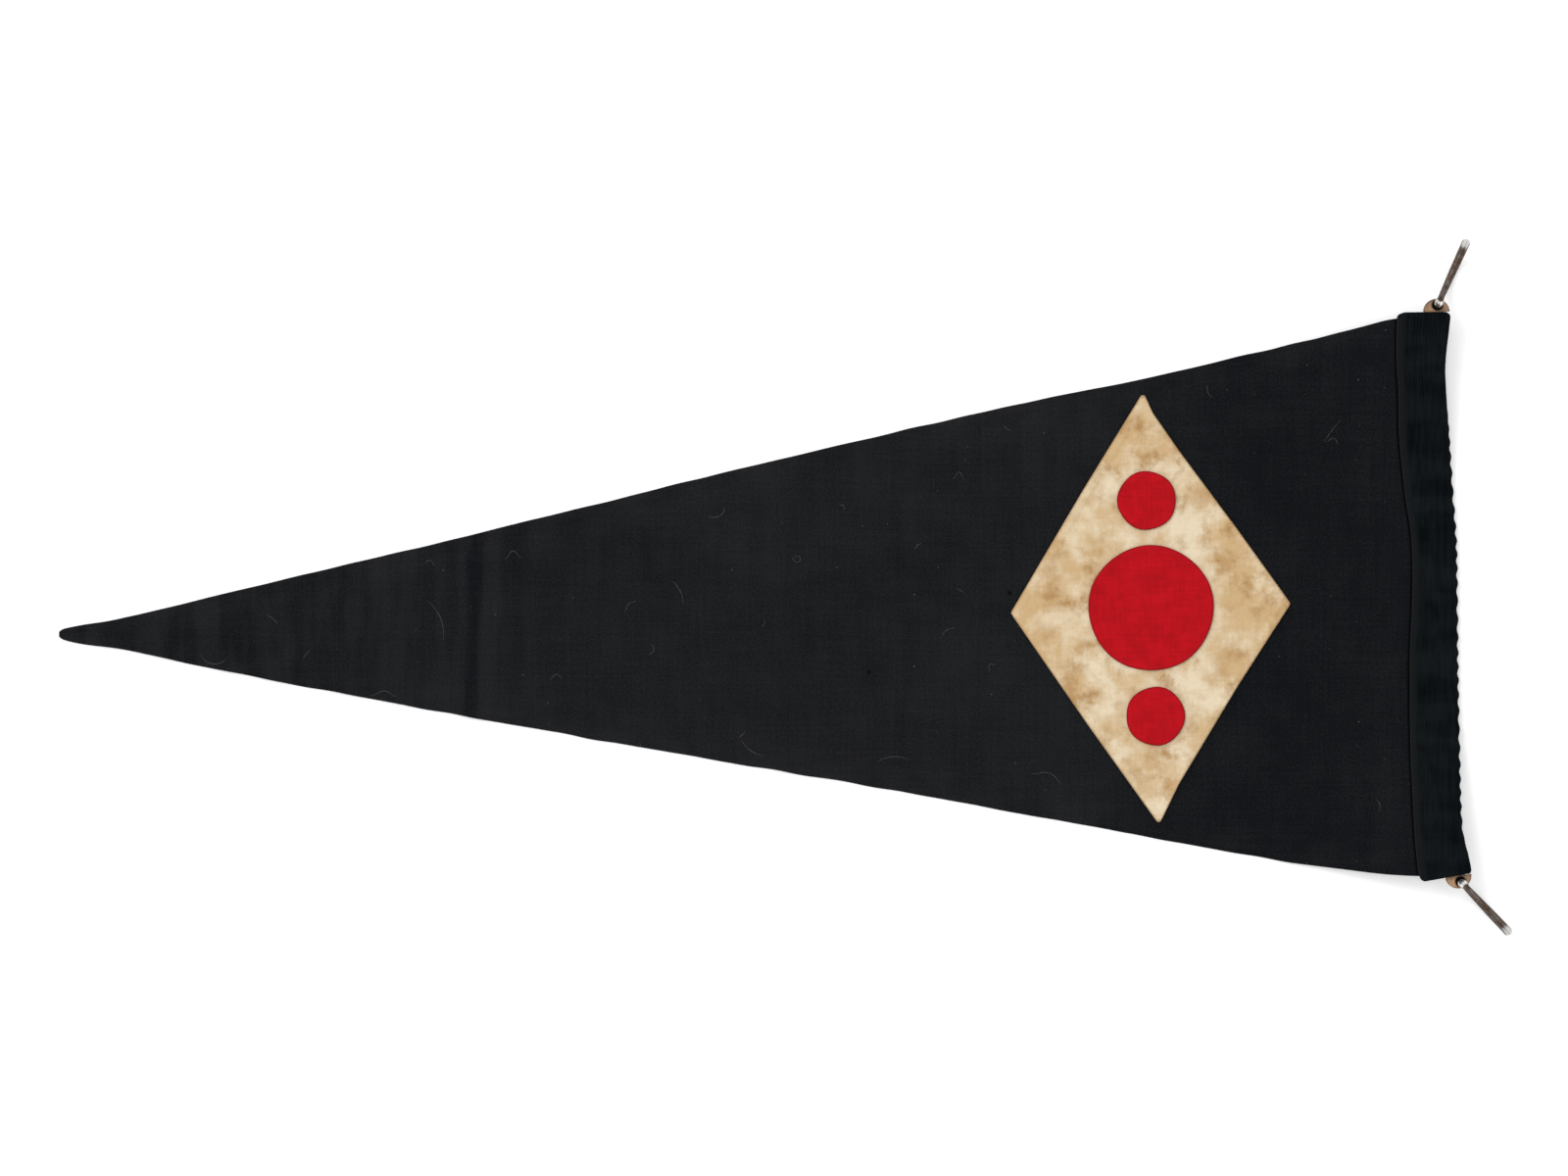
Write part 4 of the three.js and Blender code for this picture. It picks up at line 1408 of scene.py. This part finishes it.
# Start across and up, length, heading, turn over its length and sway, in degrees.
LINT = [
    (-297.8, -34.1, 17, -65, 125, 0),
    (-182.8, -6.1, 24, -38, -62, 0),
    (-39.0, 36.5, 12, -25, 115, 0),
    (3.8, 14.5, 12, 60, -330, 20),
    (85.5, 56, 10, -15, 20, 80),
    (111.5, 83, 5, -50, 30, 0),
    (283.8, 85.9, 14, -130, 5, 0),
    (275.5, 75.0, 10, -30, 30, 60),
    (216, 103.5, 8, -110, 90, 0),
    (-57.8, 3.6, 14, -35, -60, 0),
    (-82, -12, 9, 10, 70, 50),
    (-68, -29, 7, -30, -160, 0),
    (-23.3, -76.5, 5, 38, 10, 0),
    (-22.0, -77.5, 15, -62, 55, 0),
    (48.0, -88.5, 17, 30, -60, 0),
    (126.0, -95.0, 18, 0, -40, 20),
    (104, -43, 8, 20, 60, 80),
    (303, -114, 7, 60, 90, 0),
    (-143, 15, 12, -10, 30, 70),
    (-212, -55, 16, -12, 20, 40),
    (-264, -13, 8, -70, 60, 20),
    (-184, 12, 7, 30, -70, 30),
    (-246, -36, 6, 20, 60, 20),
    (-120, -47, 9, 25, -50, 40),
    (66, 20, 5, 10, 60, 30),
    (28, 43, 5, -70, 40, 50),
    (80.0, -25.0, 9, 65, -70, 0),
    (-11.5, -20, 4, 40, 60, 0),
    (88.0, -0.5, 4, -20, -20, 0),
    (117.0, -89.2, 1.6, -30, 0, 0),
    (-73.8, -79.0, 2.5, -80, 0, 0),
]


def lint_finish():
    """Pale grey cotton fluff."""
    add, finish = new_material("pale_lint")
    place = place_on(add)
    fluff = mottled(add, place, LINT_GRAIN, 0.0, 1.0)
    colour = dye(add, fluff, darkened(LINT_COLOUR, LINT_THIN), LINT_COLOUR)
    return finish({"Base Color": colour, "Roughness": 0.95})


def lay_fibre(start_x, start_y, length, heading, turn, sway):
    """Rings of points along a fibre, which is thinner at its ends and lies on the cotton."""
    t = np.linspace(0, 1, LINT_POINTS)
    bearing = np.radians(heading + turn * t + sway * np.sin(2 * math.pi * t))
    step = length / (LINT_POINTS - 1)
    x = start_x + np.concatenate([[0], np.cumsum(np.cos(bearing[:-1]))]) * step
    y = start_y + np.concatenate([[0], np.cumsum(np.sin(bearing[:-1]))]) * step
    thin = LINT_RADIUS * (LINT_TAPER[0] + LINT_TAPER[1] * np.sin(math.pi * t))
    from_upper = read_table(COTTON_EDGES, 1, x) - y
    from_hem = np.minimum(from_upper, y - read_table(COTTON_EDGES, 2, x))
    on_hem = HEM_EXTRA * (1.0 - ease(from_hem, HEM_WIDTH, HEM_WIDTH + HEM_STEP))
    on_hem += HEM_PUCKER * np.exp(-np.maximum(from_hem, 0.0) / HEM_PUCKER_REACH)
    z = relief(x, y) + COTTON_THICK + on_hem + thin + LINT_GAP
    side = np.linspace(0, 2 * math.pi, LINT_SIDES, endpoint=False)
    aside = thin[:, None] * np.cos(side)
    return grid_of(
        x[:, None] - np.sin(bearing)[:, None] * aside,
        y[:, None] + np.cos(bearing)[:, None] * aside,
        z[:, None] + thin[:, None] * np.sin(side),
    )


def make_lint():
    points = np.stack([lay_fibre(*fibre) for fibre in LINT])
    count = LINT_POINTS * LINT_SIDES
    tube = quads_of(LINT_POINTS, LINT_SIDES, wrap_rows=True)
    tube.append(list(range(LINT_SIDES)))
    tube.append([count - 1 - i for i in range(LINT_SIDES)])
    starts = range(0, count * len(LINT), count)
    faces = [[first + corner for corner in face] for first in starts for face in tube]
    mesh = close_mesh("lint", points, faces, lint_finish())
    return add_piece("lint", mesh)


make_lint()
